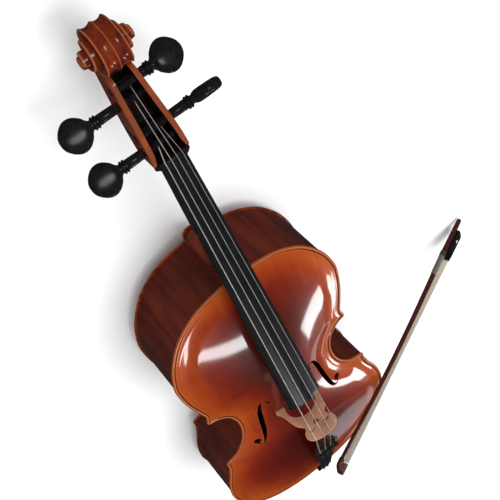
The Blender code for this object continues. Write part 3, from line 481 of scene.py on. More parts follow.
def scroll_varnish():
    """The head's varnish: painted shade, near black, inside the pegbox's hollow, and paler along the
    chamfered ridges, partly from wear and partly a painted highlight.
    """
    s = Shader("varnished_head", roughness=0.2, coat=1.0, coat_roughness=0.05)
    cloud = s.noise(s.place(), 38.0, 3)
    pore = s.noise(s.place((500, 26, 500)), 1.0, 2)
    dark, middle, light = (0.060, 0.005, 0.002), (0.13, 0.014, 0.003), (0.24, 0.038, 0.006)
    base = s.ramp(cloud, ((0.3, dark), (0.52, middle), (0.75, light)), True)
    base = s.darkened(base, 0.35, pore, PORE_TINTS)
    # Paler along the ridges: partly wear, partly a painted highlight.
    base = s.mix(s.attribute("worn"), base, (0.36, 0.1, 0.028))
    # Painted shade: the pegbox's hollow is made near black.
    base = s.mix(s.attribute("hollow"), base, (0.010, 0.003, 0.002))
    return s.finish(base, pore, 0.04, 0.0001)


def ebony(name="ebony", roughness=0.33, coat=0.25):
    s = Shader(name, roughness=roughness, coat=coat, coat_roughness=0.2, specular=0.35)
    grain = s.noise(s.place((420, 14, 420)), 1.0, 3)
    base = s.ramp(grain, ((0.35, (0.004, 0.004, 0.005)), (0.7, (0.011, 0.0105, 0.0125))))
    gloss = s.range(grain, 0.3, 0.7, roughness - 0.02, roughness + 0.04)
    return s.finish(base, grain, 0.02, 0.0001, gloss)


def bridge_maple():
    """Unvarnished maple with the small bright flecks of its rays."""
    s = Shader("bridge_maple", roughness=0.5)
    fleck = s.noise(s.place((210, 900, 1300)), 1.0, 2)
    cloud = s.noise(s.place(), 30.0, 3)
    base = s.ramp(cloud, ((0.3, (0.40, 0.19, 0.115)), (0.7, (0.56, 0.29, 0.18))))
    base = s.darkened(base, 0.5, fleck, ((0.5, (0.82, 0.76, 0.7)), (0.66, (1.25, 1.2, 1.1))))
    return s.finish(base, fleck, 0.08, 0.0001)


def bare_wood():
    s = Shader("bare_wood", roughness=0.65)
    grain = s.noise(s.place((300, 10, 300)), 1.0, 3)
    base = s.ramp(grain, ((0.35, (0.36, 0.22, 0.11)), (0.7, (0.58, 0.4, 0.22))))
    return s.finish(base, grain, 0.2, 0.0002)


def metal(name, colour, roughness):
    s = Shader(name, roughness=roughness, metallic=1.0)
    scratch = s.noise(s.place((60, 60, 60)), 6.0, 4)
    dull = tuple(c * 0.8 for c in colour)
    base = s.ramp(scratch, ((0.3, dull), (0.7, colour)))
    gloss = s.range(scratch, 0.3, 0.7, roughness * 0.8, roughness * 1.3)
    return s.finish(base, scratch, 0.03, 0.0001, gloss)


def wound_string():
    """Steel with the fine ribs of its winding, which run round the string, with painted shade in the grooves
    between the ribs.
    """
    s = Shader("wound_string", roughness=0.3, metallic=0.75)
    bands = {"wave_type": "BANDS", "bands_direction": "Y"}
    rib = s.add("ShaderNodeTexWave", bands, Vector=s.place(), Scale=380.0, Distortion=0.0).outputs["Fac"]
    # Painted shade: darker in the grooves between the winding's ribs, brighter on them.
    base = s.ramp(rib, ((0.0, (0.62, 0.62, 0.62)), (0.5, (0.93, 0.92, 0.9))))
    base = s.mix(s.attribute("silk"), base, (0.035, 0.02, 0.022))
    return s.finish(base, rib, 0.25, 0.0002)


def bow_wood():
    s = Shader("bow_wood", roughness=0.22, coat=0.8, coat_roughness=0.08)
    grain = s.noise(s.place((60, 160, 160), (0, 0, math.radians(17))), 5.0, 4)
    base = s.ramp(grain, ((0.3, (0.018, 0.004, 0.003)), (0.7, (0.085, 0.015, 0.008))))
    return s.finish(base, grain, 0.05, 0.0001)


def horsehair():
    """Straight pale strands: the shading lines run along the ribbon, from a strand number on the mesh."""
    s = Shader("horsehair", roughness=0.42)
    strand = s.attribute("strand")
    line = {"noise_dimensions": "1D"}
    shade = s.add("ShaderNodeTexNoise", line, W=strand, Scale=1.0, Detail=2.0).outputs["Fac"]
    base = s.ramp(shade, ((0.3, (0.42, 0.34, 0.2)), (0.5, (0.78, 0.73, 0.6)), (0.7, (0.93, 0.9, 0.8))))
    return s.finish(base, shade, 0.3, 0.0003)


def pearl():
    s = Shader("pearl", roughness=0.18, coat=1.0, coat_roughness=0.05)
    swirl = s.noise(s.place(), 160.0, 3, 0.5, 1.5)
    base = s.ramp(swirl, ((0.3, (0.62, 0.72, 0.72)), (0.5, (0.88, 0.86, 0.82)), (0.7, (0.82, 0.68, 0.74))))
    return s.finish(base)


def ivory_plastic():
    s = Shader("head_plate", roughness=0.3, coat=0.3)
    cloud = s.noise(s.place(), 60.0, 3)
    return s.finish(s.ramp(cloud, ((0.3, (0.66, 0.6, 0.48)), (0.7, (0.84, 0.8, 0.7)))))


def leather():
    s = Shader("grip_leather", roughness=0.6)
    cells = s.add("ShaderNodeTexVoronoi", Vector=s.place(), Scale=1400.0).outputs["Distance"]
    base = s.ramp(cells, ((0.0, (0.012, 0.01, 0.009)), (0.6, (0.045, 0.036, 0.03))))
    return s.finish(base, cells, 0.4, 0.0002)


def cord_black():
    s = Shader("cord_black", roughness=0.55)
    weave = s.noise(s.place((900, 900, 200)), 1.0, 2)
    base = s.ramp(weave, ((0.35, (0.006, 0.006, 0.006)), (0.65, (0.03, 0.03, 0.03))))
    return s.finish(base, weave, 0.3, 0.0002)


def black_metal():
    """Black lacquered metal, a little worn."""
    s = Shader("black_tuner_metal", roughness=0.35, coat=0.3)
    wear = s.noise(s.place(), 420.0, 3)
    base = s.ramp(wear, ((0.5, (0.012, 0.012, 0.013)), (0.72, (0.05, 0.05, 0.052))))
    return s.finish(base, wear, 0.05, 0.0001)


def silver_wire():
    """Fine wire wound round the bow, with a whipped thread's pale pink cast, painted shade between the turns
    and a painted highlight on their crests.
    """
    s = Shader("silver_lapping", roughness=0.3, metallic=0.85)
    ring = s.attribute("strand")
    ribs = s.math("SINE", s.math("MULTIPLY", ring, 2 * math.pi))
    # Painted shade and highlight: dark where the ripple dips between turns, bright on each crest.
    base = s.ramp(s.range(ribs, -1, 1), ((0.1, (0.35, 0.27, 0.25)), (0.7, (0.9, 0.84, 0.82))))
    return s.finish(base, ribs, 0.3, 0.0002)


def floor_material():
    s = Shader("floor", roughness=0.9)
    cloud = s.noise(s.place(), 2.0, 2)
    return s.finish(s.ramp(cloud, ((0.0, (0.9, 0.9, 0.9)), (1.0, (0.93, 0.93, 0.93)))))


# ---------------------------------------------------------------- body

PLATE_COLUMNS = 76
RIM_STEPS = (0, 0.25, 0.6, 1.1, 1.7, 2.4, 3.2, 4.0, 4.6, 5.2, 5.8, 6.5, 7.5, 9, 11, 13.5, 16.5)
ARCH_WIDTHS = (
    (755, 0), (752, 40), (740, 85), (709, 128), (660, 160), (612, 174), (580, 176), (540, 171), (500, 159),
    (470, 147), (440, 131), (410, 118), (382, 114.5), (352, 118), (320, 130), (290, 147), (260, 166),
    (230, 184), (200, 196), (170, 202), (132, 199), (92, 185), (56, 157), (26, 114), (7, 60), (0, 0),
)


def edge_distance(x, y):
    """Distance inwards from the body's outline, for arrays of points."""
    line = half_loop(0.0)[::2]
    a, d = line[:-1], np.diff(line, axis=0)
    size = (d * d).sum(1)
    made = []
    for chunk in np.array_split(np.stack([np.abs(x), y], axis=1), max(1, len(x) // 4000)):
        rel = chunk[:, None, :] - a[None]
        t = np.clip((rel * d[None]).sum(2) / size, 0, 1)
        made.append(np.sqrt(((rel - t[..., None] * d[None]) ** 2).sum(2)).min(1))
    return np.concatenate(made)


def arching(x, y, edge, height):
    """Height of an arched plate above its edge: a crest along the middle, a channel inside the rim."""
    curve = spline(ARCH_WIDTHS, 8)[::-1]
    half = np.maximum(np.interp(y, curve[:, 0], curve[:, 1]), 1e-3)
    crest = np.maximum(0, 1 - np.abs(2 * y / BODY_LENGTH - 1) ** 2.8)
    across = np.cos(0.5 * math.pi * np.clip(np.abs(x) / half, 0, 1)) ** 1.35
    share = np.clip((edge - 5) / 42, 0, 1)
    rise = height * crest * across * share * share * (3 - 2 * share)
    return rise - 0.9 * np.exp(-(((edge - 8) / 3.2) ** 2))


def belly(x, y):
    x, y = np.atleast_1d(np.array(x, float)), np.atleast_1d(np.array(y, float))
    return arching(x, y, edge_distance(x, y), BELLY_ARCH)


def plate_grid():
    """The plate seen from above: its points, rings of point numbers along the rim, and rows across."""
    rings = [half_loop(d + 0.3, max(0.0, 5.0 - 1.25 * d)) for d in RIM_STEPS]
    flat, index_rings, index_rows = [], [], []
    for ring in rings[:-1]:
        right = [len(flat) + i for i in range(len(ring))]
        flat += [tuple(p) for p in ring]
        left = [right[0]]
        for p in ring[1:-1]:
            left.append(len(flat))
            flat.append((-p[0], p[1]))
        left.append(right[-1])
        index_rings.append((right, left))
    for x, y in rings[-1]:
        if x < 1e-6:
            index_rows.append([len(flat)])
            flat.append((0.0, y))
            continue
        row = []
        for j in range(PLATE_COLUMNS + 1):
            row.append(len(flat))
            flat.append((x * (2 * j / PLATE_COLUMNS - 1), y))
        index_rows.append(row)
    index_rings.append(([r[-1] for r in index_rows], [r[0] for r in index_rows]))
    return np.array(flat), index_rings, index_rows


def plate_faces(index_rings, index_rows):
    """The faces of one side of the plate, without those that have no area."""
    faces = []
    for (right, left), (right_in, left_in) in zip(index_rings, index_rings[1:]):
        for i in range(len(right) - 1):
            faces.append((right[i], right_in[i], right_in[i + 1], right[i + 1]))
            faces.append((left[i], left[i + 1], left_in[i + 1], left_in[i]))
    for above, below in zip(index_rows, index_rows[1:]):
        if len(above) == 1:
            faces += [(above[0], below[j], below[j + 1]) for j in range(PLATE_COLUMNS)]
        elif len(below) == 1:
            faces += [(above[j], below[0], above[j + 1]) for j in range(PLATE_COLUMNS)]
        else:
            faces += [(above[j], below[j], below[j + 1], above[j + 1]) for j in range(PLATE_COLUMNS)]
    faces = [tuple(dict.fromkeys(f)) for f in faces]
    return [f for f in faces if len(f) > 2]


def plate_shape(height, edge_top, sign):
    """An arched plate with a rounded rim, and each point's distance from the rim."""
    flat, index_rings, index_rows = plate_grid()
    faces = plate_faces(index_rings, index_rows)
    edge = edge_distance(flat[:, 0], flat[:, 1])
    for ring, d in zip(index_rings, RIM_STEPS):
        for side in ring:
            edge[side] = d
    rise = arching(flat[:, 0], flat[:, 1], edge, height)
    turn_down = np.where(edge < 2.4, 1.7 * (1 - np.sqrt(np.clip(1 - (1 - edge / 2.4) ** 2, 0, 1))), 0)
    outer = edge_top + sign * (rise - turn_down)
    inner = edge_top - sign * EDGE + sign * (np.maximum(rise, 0) + 0.6 * turn_down)
    count = len(flat)
    points = np.vstack([np.column_stack([flat, outer]), np.column_stack([flat, inner])])
    bottom = [tuple(count + i for i in reversed(f)) for f in faces]
    right, left = index_rings[0]
    walls = []
    for i in range(len(right) - 1):
        walls.append((right[i], right[i + 1], count + right[i + 1], count + right[i]))
        walls.append((left[i], count + left[i], count + left[i + 1], left[i + 1]))
    walls = [f for f in walls if len(set(f)) > 3]
    return (points, outward(points, faces + bottom + walls)), np.concatenate([edge, edge])


SOUND_HOLE = (
    (50, 414.5), (53.5, 420.5), (59, 421.5), (64.5, 415), (68, 402), (71.5, 384), (75, 354), (79, 324),
    (83.5, 302), (88, 289), (93.5, 283.5), (99, 285.5), (103, 291),
)
SOUND_HOLE_HALVES = (1.6, 1.9, 2.5, 3.4, 4.2, 4.9, 5.1, 4.9, 4.3, 3.5, 2.6, 2.0, 1.7)


def sound_hole_tools(side):
    """The slot, its two eyes and its two small nicks, for one side of the belly."""
    path = spline(np.column_stack([SOUND_HOLE, SOUND_HOLE_HALVES]), 8)
    tangent = np.gradient(path[:, :2], axis=0)
    tangent /= np.linalg.norm(tangent, axis=1)[:, None]
    normal = np.stack([tangent[:, 1], -tangent[:, 0]], axis=1)
    outline = np.vstack([path[:, :2] + normal * path[:, 2:], (path[:, :2] - normal * path[:, 2:])[::-1]])
    tools = [make("slot", prism(outline * (side, 1), -20, 40))]
    for x, y, radius in ((48, 408, 6.5), (101, 297, 8.0)):
        tools.append(make("eye", turned((side * x, y, 0), "Z", ((-20, radius), (40, radius)), 40)))
    for x, y in ((68.5, 349), (81.5, 353)):
        diamond = [(side * (x - 2.6), y), (side * x, y - 2.2), (side * (x + 2.6), y), (side * x, y + 2.2)]
        tools.append(make("nick", prism(diamond, -20, 40)))
    return tools


def make_plates(stuff):
    shape, edge = plate_shape(BELLY_ARCH, 0.0, 1)
    top = make("belly_top_plate", shape, angle=0)
    attribute(top, "edge", edge)
    heel_notch = make("notch", box((-NECK_HALF, 739.7, -30), (NECK_HALF, 765, 40)))
    saddle_notch = make("notch", box((-18.3, -4, -30), (18.3, 8.3, 40)))
    tools = sound_hole_tools(-1) + sound_hole_tools(1) + [heel_notch, saddle_notch]
    boolean(top, tools, "DIFFERENCE")
    smooth(top, 40)
    show(top, stuff["spruce"], "cello", ["top_plate"])
    shape, edge = plate_shape(BACK_ARCH, BACK_TOP - EDGE, -1)
    back = make("arched_back_plate", shape, angle=0)
    attribute(back, "edge", edge)
    arc = [(15 * math.cos(a), 760 + 15 * math.sin(a)) for a in np.linspace(0, math.pi, 25)]
    tongue = [(-15, 745), (15, 745), *arc[1:-1]]
    button = make("button", prism(tongue, BACK_TOP - EDGE + 0.02, BACK_TOP - 0.02))
    boolean(back, [button], "UNION")
    smooth(back, 40)
    show(back, stuff["back"], "cello", ["back_plate"])


def make_ribs(stuff):
    outer, inner = stretches(OVERHANG), stretches(OVERHANG + RIB_THICKNESS)
    ends = ((NECK_HALF, 0.3), (0.3, 0.3), (0.3, 0.3))
    for name, away, near, (start, end) in zip(("upper", "waist", "lower"), outer, inner, ends):
        for side, word in ((-1, "bass"), (1, "treble")):
            a, b = shortened(away, start, end), shortened(near, start, end)
            count = max(len(a), len(b))
            a, b = resampled(a, count), resampled(b, count)
            levels = (RIB_BOTTOM, -95, -60, -30, RIB_TOP)
            sections = []
            for p, q in zip(a * (side, 1), b * (side, 1)):
                sections.append([(*p, z) for z in levels] + [(*q, RIB_TOP), (*q, RIB_BOTTOM)])
            rib = make(f"{word}_{name}_rib_skin", loft(sections), angle=40)
            attribute(rib, "run", np.repeat(lengths_along(a), len(levels) + 2))
            attribute(rib, "height", places(rib)[:, 2])
            if name == "lower":
                bore = make("bore", turned((0, -5, MID_RIB), "Y", ((0, 13.2), (40, 13.2)), 48))
                boolean(rib, [bore], "DIFFERENCE")
                smooth(rib, 40)
            show(rib, stuff["ribs"], "cello", [f"{name}_rib_{word}"])


def make_linings(stuff):
    """The two strips behind the ribs' edges, open at the neck's heel."""
    outer, inner = half_loop(BEHIND_RIB), half_loop(BEHIND_RIB + LINING_THICKNESS)
    step = np.linalg.norm(np.diff(outer, axis=0), axis=1)
    kept = np.append(True, step > 1e-6) & ((outer[:, 0] > 24) | (outer[:, 1] < 600))
    outer, inner = [np.vstack([line[kept], (line[kept] * (-1, 1))[-2::-1]]) for line in (outer, inner)]
    for name, low in (("top_lining", RIB_TOP - LINING_HEIGHT), ("back_lining", RIB_BOTTOM)):
        high = low + LINING_HEIGHT
        sections = [[(*p, low), (*p, high), (*q, high), (*q, low)] for p, q in zip(outer, inner)]
        strip = make(f"{name}_strip", loft(sections), angle=40)
        show(strip, stuff["wood"], "cello", [name])


def make_corner_blocks(stuff):
    """The blocks inside the four corners, just behind the ribs."""
    upper, waist, lower = stretches(BEHIND_RIB)
    for name, before, after in (("upper", upper, waist), ("lower", waist, lower)):
        to_corner = lengths_along(before)[-1] - lengths_along(before)
        past_corner = lengths_along(after)
        outline = np.vstack([before[to_corner < BLOCK_REACH], after[past_corner < BLOCK_REACH][1:]])
        for side, word in ((-1, "bass"), (1, "treble")):
            block = make(f"{name}_corner_{word}", prism(outline * (side, 1), RIB_BOTTOM, RIB_TOP), angle=40)
            show(block, stuff["wood"], "cello", [f"{name}_corner_block_{word}"])


# ---------------------------------------------------------------- neck and head

EYE_Y, EYE_Z = 1186.0, -73.0
SCROLL_START, SCROLL_END = -115, 810

# Stations of the pegbox (place along Y, front, back, half width) and of the neck (place, bottom, half width).
PEGBOX = (
    (1010, -20.5, -36, 19.4), (1018, -20.5, -44, 24.5), (1026.2, -20.5, -50, 28.6),
    (1030.5, -20.5, -52.8, 29.1), (1030.9, -13.2, -53, 29.2), (1036, -14, -57, 29), (1056, -18, -66, 28.2),
    (1080, -28, -77, 26.4), (1108, -43, -89, 24.2), (1134, -56, -99, 21.8), (1147, -64, -103, 20.7),
    (1153, -76, -105.5, 20.2), (1158, -87, -107.5, 19.8), (1165, -94, -109, 19.4), (1177, -99, -110.2, 18.8),
)
NECK = (
    (740, -121.5, 20.3), (757, -121.5, 20.3), (770, -121.3, 20.2), (777, -113, 20), (782, -97, 20.3),
    (787, -72, 21), (794, -47, 22), (806, -27, 23), (824, -13, 23.6), (850, -11.2, 23.6), (900, -19.7, 22.4),
    (960, -29.9, 21), (1008, -38, 19.8), (1019.5, -44.5, 19.4),
)


def board_top(y):
    return 36 + 0.17 * (BODY_LENGTH - y)


def board_half(y):
    return 20 + 14 * (NUT_Y - y) / (NUT_Y - BOARD_END)


def board_bottom(y):
    return board_top(y) - board_half(y) ** 2 / BOARD_DIAMETER - 7


def neck_sections():
    stations = resampled_stations(NECK, 70)
    sections = []
    for y, bottom, half in stations:
        top = board_bottom(y) - 0.3
        half = min(half, board_half(y) - 0.3) if y > 815 else half
        depth = top - bottom
        shoulder = min(7.0, depth / 3)
        ring = [(half, y, top), (0, y, top), (-half, y, top), (-half, y, top - shoulder * 0.5)]
        fullness = float(np.interp(y, (758, 774, 800), (0.2, 0.6, 0.9)))
        for angle in np.linspace(0, math.pi, 21):
            across = -half * math.copysign(abs(math.cos(angle)) ** fullness, math.cos(angle))
            ring.append((across, y, top - shoulder - (depth - shoulder) * math.sin(angle) ** fullness))
        ring.append((half, y, top - shoulder * 0.5))
        sections.append(ring)
    return sections


def resampled_stations(stations, steps):
    """Stations smoothed along their first number, at even places."""
    table = np.array(stations, float)
    given = table[:, 0]
    wanted = np.unique(np.concatenate([np.linspace(given[0], given[-1], steps), given]))
    return np.stack([wanted, *(monotone(given, column, wanted) for column in table.T[1:])], axis=1)


def monotone(x, y, wanted):
    """Smooth curve through points that never swings past them."""
    slope = np.diff(y) / np.diff(x)
    tangent = np.concatenate([[slope[0]], (slope[1:] + slope[:-1]) / 2, [slope[-1]]])
    for i in range(len(slope)):
        if slope[i] == 0 or (i > 0 and slope[i] * slope[i - 1] <= 0):
            tangent[i] = 0
        limit = 3 * abs(slope[i])
        tangent[i] = math.copysign(min(abs(tangent[i]), limit), tangent[i])
        tangent[i + 1] = math.copysign(min(abs(tangent[i + 1]), limit), tangent[i + 1])
    i = np.clip(np.searchsorted(x, wanted) - 1, 0, len(slope) - 1)
    h = x[i + 1] - x[i]
    t = (wanted - x[i]) / h
    return (
        (2 * t**3 - 3 * t**2 + 1) * y[i]
        + (t**3 - 2 * t**2 + t) * h * tangent[i]
        + (-2 * t**3 + 3 * t**2) * y[i + 1]
        + (t**3 - t**2) * h * tangent[i + 1]
    )


def pegbox_sections():
    """The solid that the pegbox is hollowed from: chamfered cheeks, and a back with two soft flutes."""
    sections = []
    chamfer = 1.3
    for y, front, back, half in resampled_stations(PEGBOX, 60):
        depth = np.interp(y, (1040, 1080, 1150), (0.0, 1.6, 3.2))
        ring = [(half - chamfer, y, front), (-half + chamfer, y, front)]
        ring += [(-half, y, front - chamfer), (-half, y, back + chamfer)]
        for share in np.linspace(-1, 1, 25):
            x = share * (half - chamfer)
            ring.append((x, y, back + depth * abs(math.sin(math.pi * share)) ** 0.8))
        ring += [(half, y, back + chamfer), (half, y, front - chamfer)]
        sections.append(ring)
    return sections


def channel_sections():
    """What is hollowed out between the cheeks, with rounded corners along its floor."""
    sections = []
    for y, front, back, half in resampled_stations(PEGBOX[4:], 40):
        if not 1030 <= y <= 1151:
            continue
        wall = np.interp(y, (1030, 1045, 1100, 1150), (4.5, 7.6, 8.2, 7.6))
        inner = half - wall
        floor = back + 9
        inner_low = inner - 1.5
        corner = min(3.0, inner_low / 2)
        side = [(inner, front + 30), (inner, front - 6)]
        side += [(inner_low, floor + corner), (inner_low - corner, floor)]
        ring = [(-x, y, z) for x, z in side] + [(x, y, z) for x, z in reversed(side)]
        sections.append(ring)
    return sections


# The scroll's turns: angle, radius and half width.
TURNS = (
    (-115, 35.9, 18.6), (-60, 35.9, 18.2), (0, 35.8, 18.2), (60, 34.9, 18.8), (90, 34.0, 19.3),
    (135, 32.8, 20.2), (180, 31.0, 21.2), (225, 28.9, 22.3), (270, 26.6, 23.4), (360, 22.8, 25.8),
    (450, 19.6, 28.4), (540, 16.9, 31.0), (630, 14.6, 33.4), (720, 12.6, 35.6), (810, 11.0, 37.4),
)


def volute_sections():
    """Sections of the scroll's spiral, whose turns stand out further and further, and the marks of their
    paler ridges, from wear and a painted highlight.
    """
    table = np.array(TURNS, float)

    def at(angle, column):
        wanted = np.clip([angle], SCROLL_START, SCROLL_END)
        return float(monotone(table[:, 0], table[:, column], wanted)[0])

    sections, worn = [], []
    chamfer = 1.5
    for angle in np.arange(SCROLL_START, SCROLL_END + 1, 5.0):
        out_y, out_z = math.cos(math.radians(angle)), math.sin(math.radians(angle))
        outer, half = at(angle, 1), at(angle, 2)
        inner = at(angle + 360.0, 1) if angle + 360 < SCROLL_END else 9.0
        flute = 3.0 * float(np.clip((300 - angle) / 60, 0, 1)) * float(np.clip((angle + 150) / 50, 0.4, 1))
        profile, mark = [], []
        for share in np.linspace(-1, 1, 29):
            dip = flute * abs(math.sin(math.pi * share)) ** 0.75
            profile.append((share * (half - chamfer), outer - dip))
            # Marks for the paler ridges: wear and a painted highlight.
            mark.append(0.85 if abs(share) > 0.97 or abs(share) < 0.04 else 0.0)
        terrace = [(half - 0.1, outer - chamfer), (half - 0.7, outer - chamfer - 2.0)]
        terrace += [(half - 1.6, (outer + inner) / 2), (half - 2.2, inner + 1.0), (half - 2.2, inner - 2.5)]
        profile += terrace + [(-x, r) for x, r in reversed(terrace)]
        mark += [0.85, 0.25, 0, 0, 0, 0, 0, 0, 0.25, 0.85]
        sections.append([(x, EYE_Y + out_y * r, EYE_Z + out_z * r) for x, r in profile])
        worn.append(mark)
    return sections, np.array(worn).reshape(-1)


def make_head(stuff):
    neck = make("neck_root_and_handle", loft(neck_sections()), angle=38)
    show(neck, stuff["neck"], "cello", ["neck_and_scroll"])
    make_pegbox(stuff)
    sections, worn = volute_sections()
    volute = make("scroll_volute", loft(sections), angle=42)
    attribute(volute, "worn", worn)
    show(volute, stuff["head"], "cello", ["neck_and_scroll"])
    end = ((38.9, 6.6), (38.4, 8.0), (37, 9.0), (33, 9.6), (27, 10.5))
    profile = [(-x, r) for x, r in end] + list(reversed(end))
    eye = make("scroll_eyes", turned((0, EYE_Y, EYE_Z), "X", profile, 48), angle=42)
    # The eyes' outer rims are paler: wear and a painted highlight.
    attribute(eye, "worn", np.where(np.abs(places(eye)[:, 0]) > 38.2, 0.6, 0.0))
    show(eye, stuff["head"], "cello", ["neck_and_scroll"])


def make_pegbox(stuff):
    pegbox = make("pegbox", loft(pegbox_sections()), angle=38)
    tools = [make("channel", loft(channel_sections()))]
    for y, z, _, _ in PEGS.values():
        tools.append(make("hole", turned((-40, y, z), "X", ((0, 6.6), (80, 6.6)), 40)))
    boolean(pegbox, tools, "DIFFERENCE")
    smooth(pegbox, 38)
    x, y, z = places(pegbox).T
    table = np.array(PEGBOX)
    front, back, half = [np.interp(y, table[:, 0], table[:, k]) for k in (1, 2, 3)]
    # Mask for the painted shade inside the pegbox's hollow.
    inside = (np.abs(x) < half - 3) & (z < front - 1.5) & (z > back + 6) & (y > 1030)
    inside |= (np.abs(x) < half - 3.5) & (y > 1029.5) & (y < 1032)
    attribute(pegbox, "hollow", np.where(inside, 1.0, 0.0))
    # The cheeks' front faces are paler: wear and a painted highlight.
    ridge = (z > front - 1.5) & (np.abs(x) > 6) & (y < 1150) & (y > 1030.8)
    attribute(pegbox, "worn", np.where(ridge, 0.35, 0.0))
    show(pegbox, stuff["head"], "cello", ["neck_and_scroll"])


def make_fingerboard(stuff):
    sections = []
    for y in np.linspace(NUT_Y, BOARD_END, 60):
        half, low = board_half(y), board_bottom(y)
        ring = []
        for share in np.linspace(1, -1, 41):
            x = share * half
            ring.append((x, y, board_top(y) - x * x / BOARD_DIAMETER))
        side = (ring[-1][2] + low) / 2
        ring += [(-half, y, side), (-half + 0.6, y, low), (0, y, low), (half - 0.6, y, low), (half, y, side)]
        sections.append(ring)
    board = make("fingerboard_blank", loft(sections), angle=30)
    bevel(board, 0.7, 3)
    show(board, stuff["board"], "cello", ["fingerboard"])


def nut_top(x):
    return board_top(NUT_Y) + 1.2 - x * x / BOARD_DIAMETER


NUT_HALF = 28.4
NUT_STATIONS = ((1020.3, 0.0), (1022, 0.05), (1025, 0.5), (1027.6, 1.5), (1029.2, 2.9), (1030, 4.4))


def nut_groove(x):
    """How deep the nearest string's groove is at a place across the nut."""
    deepest = 0.0
    for radius, place in STRINGS.values():
        share = abs(x - place * SPREAD_AT_NUT) / (radius + 0.2)
        if share < 1:
            deepest = max(deepest, 0.9 * math.sqrt(1 - share**2))
    return deepest


def make_nut(stuff):
    end = np.linspace(NUT_HALF, 20, 12)[:-1]
    across = np.concatenate([end, np.linspace(20, -20, 161), -end[::-1]])
    sections = []
    for y, drop in NUT_STATIONS:
        ring = []
        for x in across:
            groove = nut_groove(x) * (1 if drop < 1 else 0.3)
            shoulder = 3.4 * min(1, max(0, (abs(x) - 19.5) / 8)) ** 1.5
            ring.append((x, y, max(nut_top(x) - shoulder - drop - groove, -18)))
        ring += [(-NUT_HALF, y, -20.1), (NUT_HALF, y, -20.1)]
        sections.append(ring)
    nut = make("string_nut", loft(sections), angle=40)
    show(nut, stuff["ebony"], "cello", ["nut"])


# Distances from the middle of a peg's head, with a radius, or with a width and a thickness.
PEG_COLLARS = (
    (-34.4, 6.5), (-34, 8.4), (-33, 9.5), (-31.8, 9.5), (-31, 8.6), (-30.6, 7.4), (-30, 7.4), (-29.6, 8.8),
    (-28.6, 9.6), (-27.4, 9.5), (-26.6, 8.3),
)
PEG_HEAD = (
    (-25.8, 7.0, 6.8), (-23.6, 7.4, 6.4), (-21.5, 9.6, 7.0), (-18.5, 14.2, 8.6), (-15, 17.8, 9.3),
    (-10, 21.6, 9.5), (-5, 23.6, 9.5), (0, 24.2, 9.3), (5, 23.4, 9.2), (10, 21.0, 9.0), (14.5, 17.4, 8.7),
    (18, 13.4, 8.1), (20.6, 9.4, 6.9), (22, 5, 4.4),
)


def make_pegs(stuff):
    """Turned pegs: a tapered shaft, two collar rings and a broad oval head."""
    sides = 56
    angle = np.linspace(0, 2 * math.pi, sides, endpoint=False)
    for name, (y, z, side, reach) in PEGS.items():
        wall = float(np.interp(y, [p[0] for p in PEGBOX], [p[3] for p in PEGBOX]))
        turn = math.radians(50 if name == "a" else -38)
        inner_end = -2 * wall
        shaft = [(inner_end + 1.0, 4.8), (inner_end + 1.6, 5.2), (0.3, 6.2), (1.2, 7.0), (reach - 36, 7.5)]
        shaft += [(reach + distance, radius) for distance, radius in PEG_COLLARS]
        rows = [(distance, radius, radius) for distance, radius in shaft]
        rows += [(reach + distance, wide, thick) for distance, wide, thick in PEG_HEAD]
        sections = []
        for distance, wide, thick in rows:
            plump = 0.8 if distance > reach - 20 else 1.0
            across = wide * np.cos(angle)
            up = thick * np.sign(np.sin(angle)) * np.abs(np.sin(angle)) ** plump
            along = np.full(sides, side * (wall + distance))
            out_y = y + across * math.cos(turn) - up * math.sin(turn)
            out_z = z + across * math.sin(turn) + up * math.cos(turn)
            sections.append(np.stack([along, out_y, out_z], axis=1))
        peg = make(f"turned_peg_{name}", loft(sections), angle=42)
        show(peg, stuff["peg"], f"peg_{name}", [f"peg_{name}"])


# ---------------------------------------------------------------- bridge, strings and tailpiece

BRIDGE_OUTSIDE = (
    (0, 118.8), (12, 117.6), (24.3, 114.0), (31, 108.6), (34.3, 101), (32.2, 93), (27, 87.6), (24.6, 82),
    (26.5, 77), (31.5, 71), (35.5, 62), (38, 50), (40.2, 37), (43, 28), (46.4, 22.6),
)
BRIDGE_INSIDE = ((28.2, 24.4), (30.6, 31), (31.2, 39), (28.5, 48), (21, 56), (10, 61), (0, 62.5))
HALF_HEART = ((0, -6), (3.5, -2), (6.2, 2.5), (5.2, 5.8), (2.4, 6.2), (0, 3.4))
KIDNEY = (
    (-6.5, 1.5), (-3, 3.2), (2, 3.4), (6.4, 0.6), (6.8, -1.4), (3.4, 0.4), (-1, 0.2), (-4.2, -1.8),
    (-6.8, -1.2),
)


def bridge_crest(x):
    line = spline(BRIDGE_OUTSIDE[:5], 8)
    return float(np.interp(abs(x), line[:, 0], line[:, 1]))


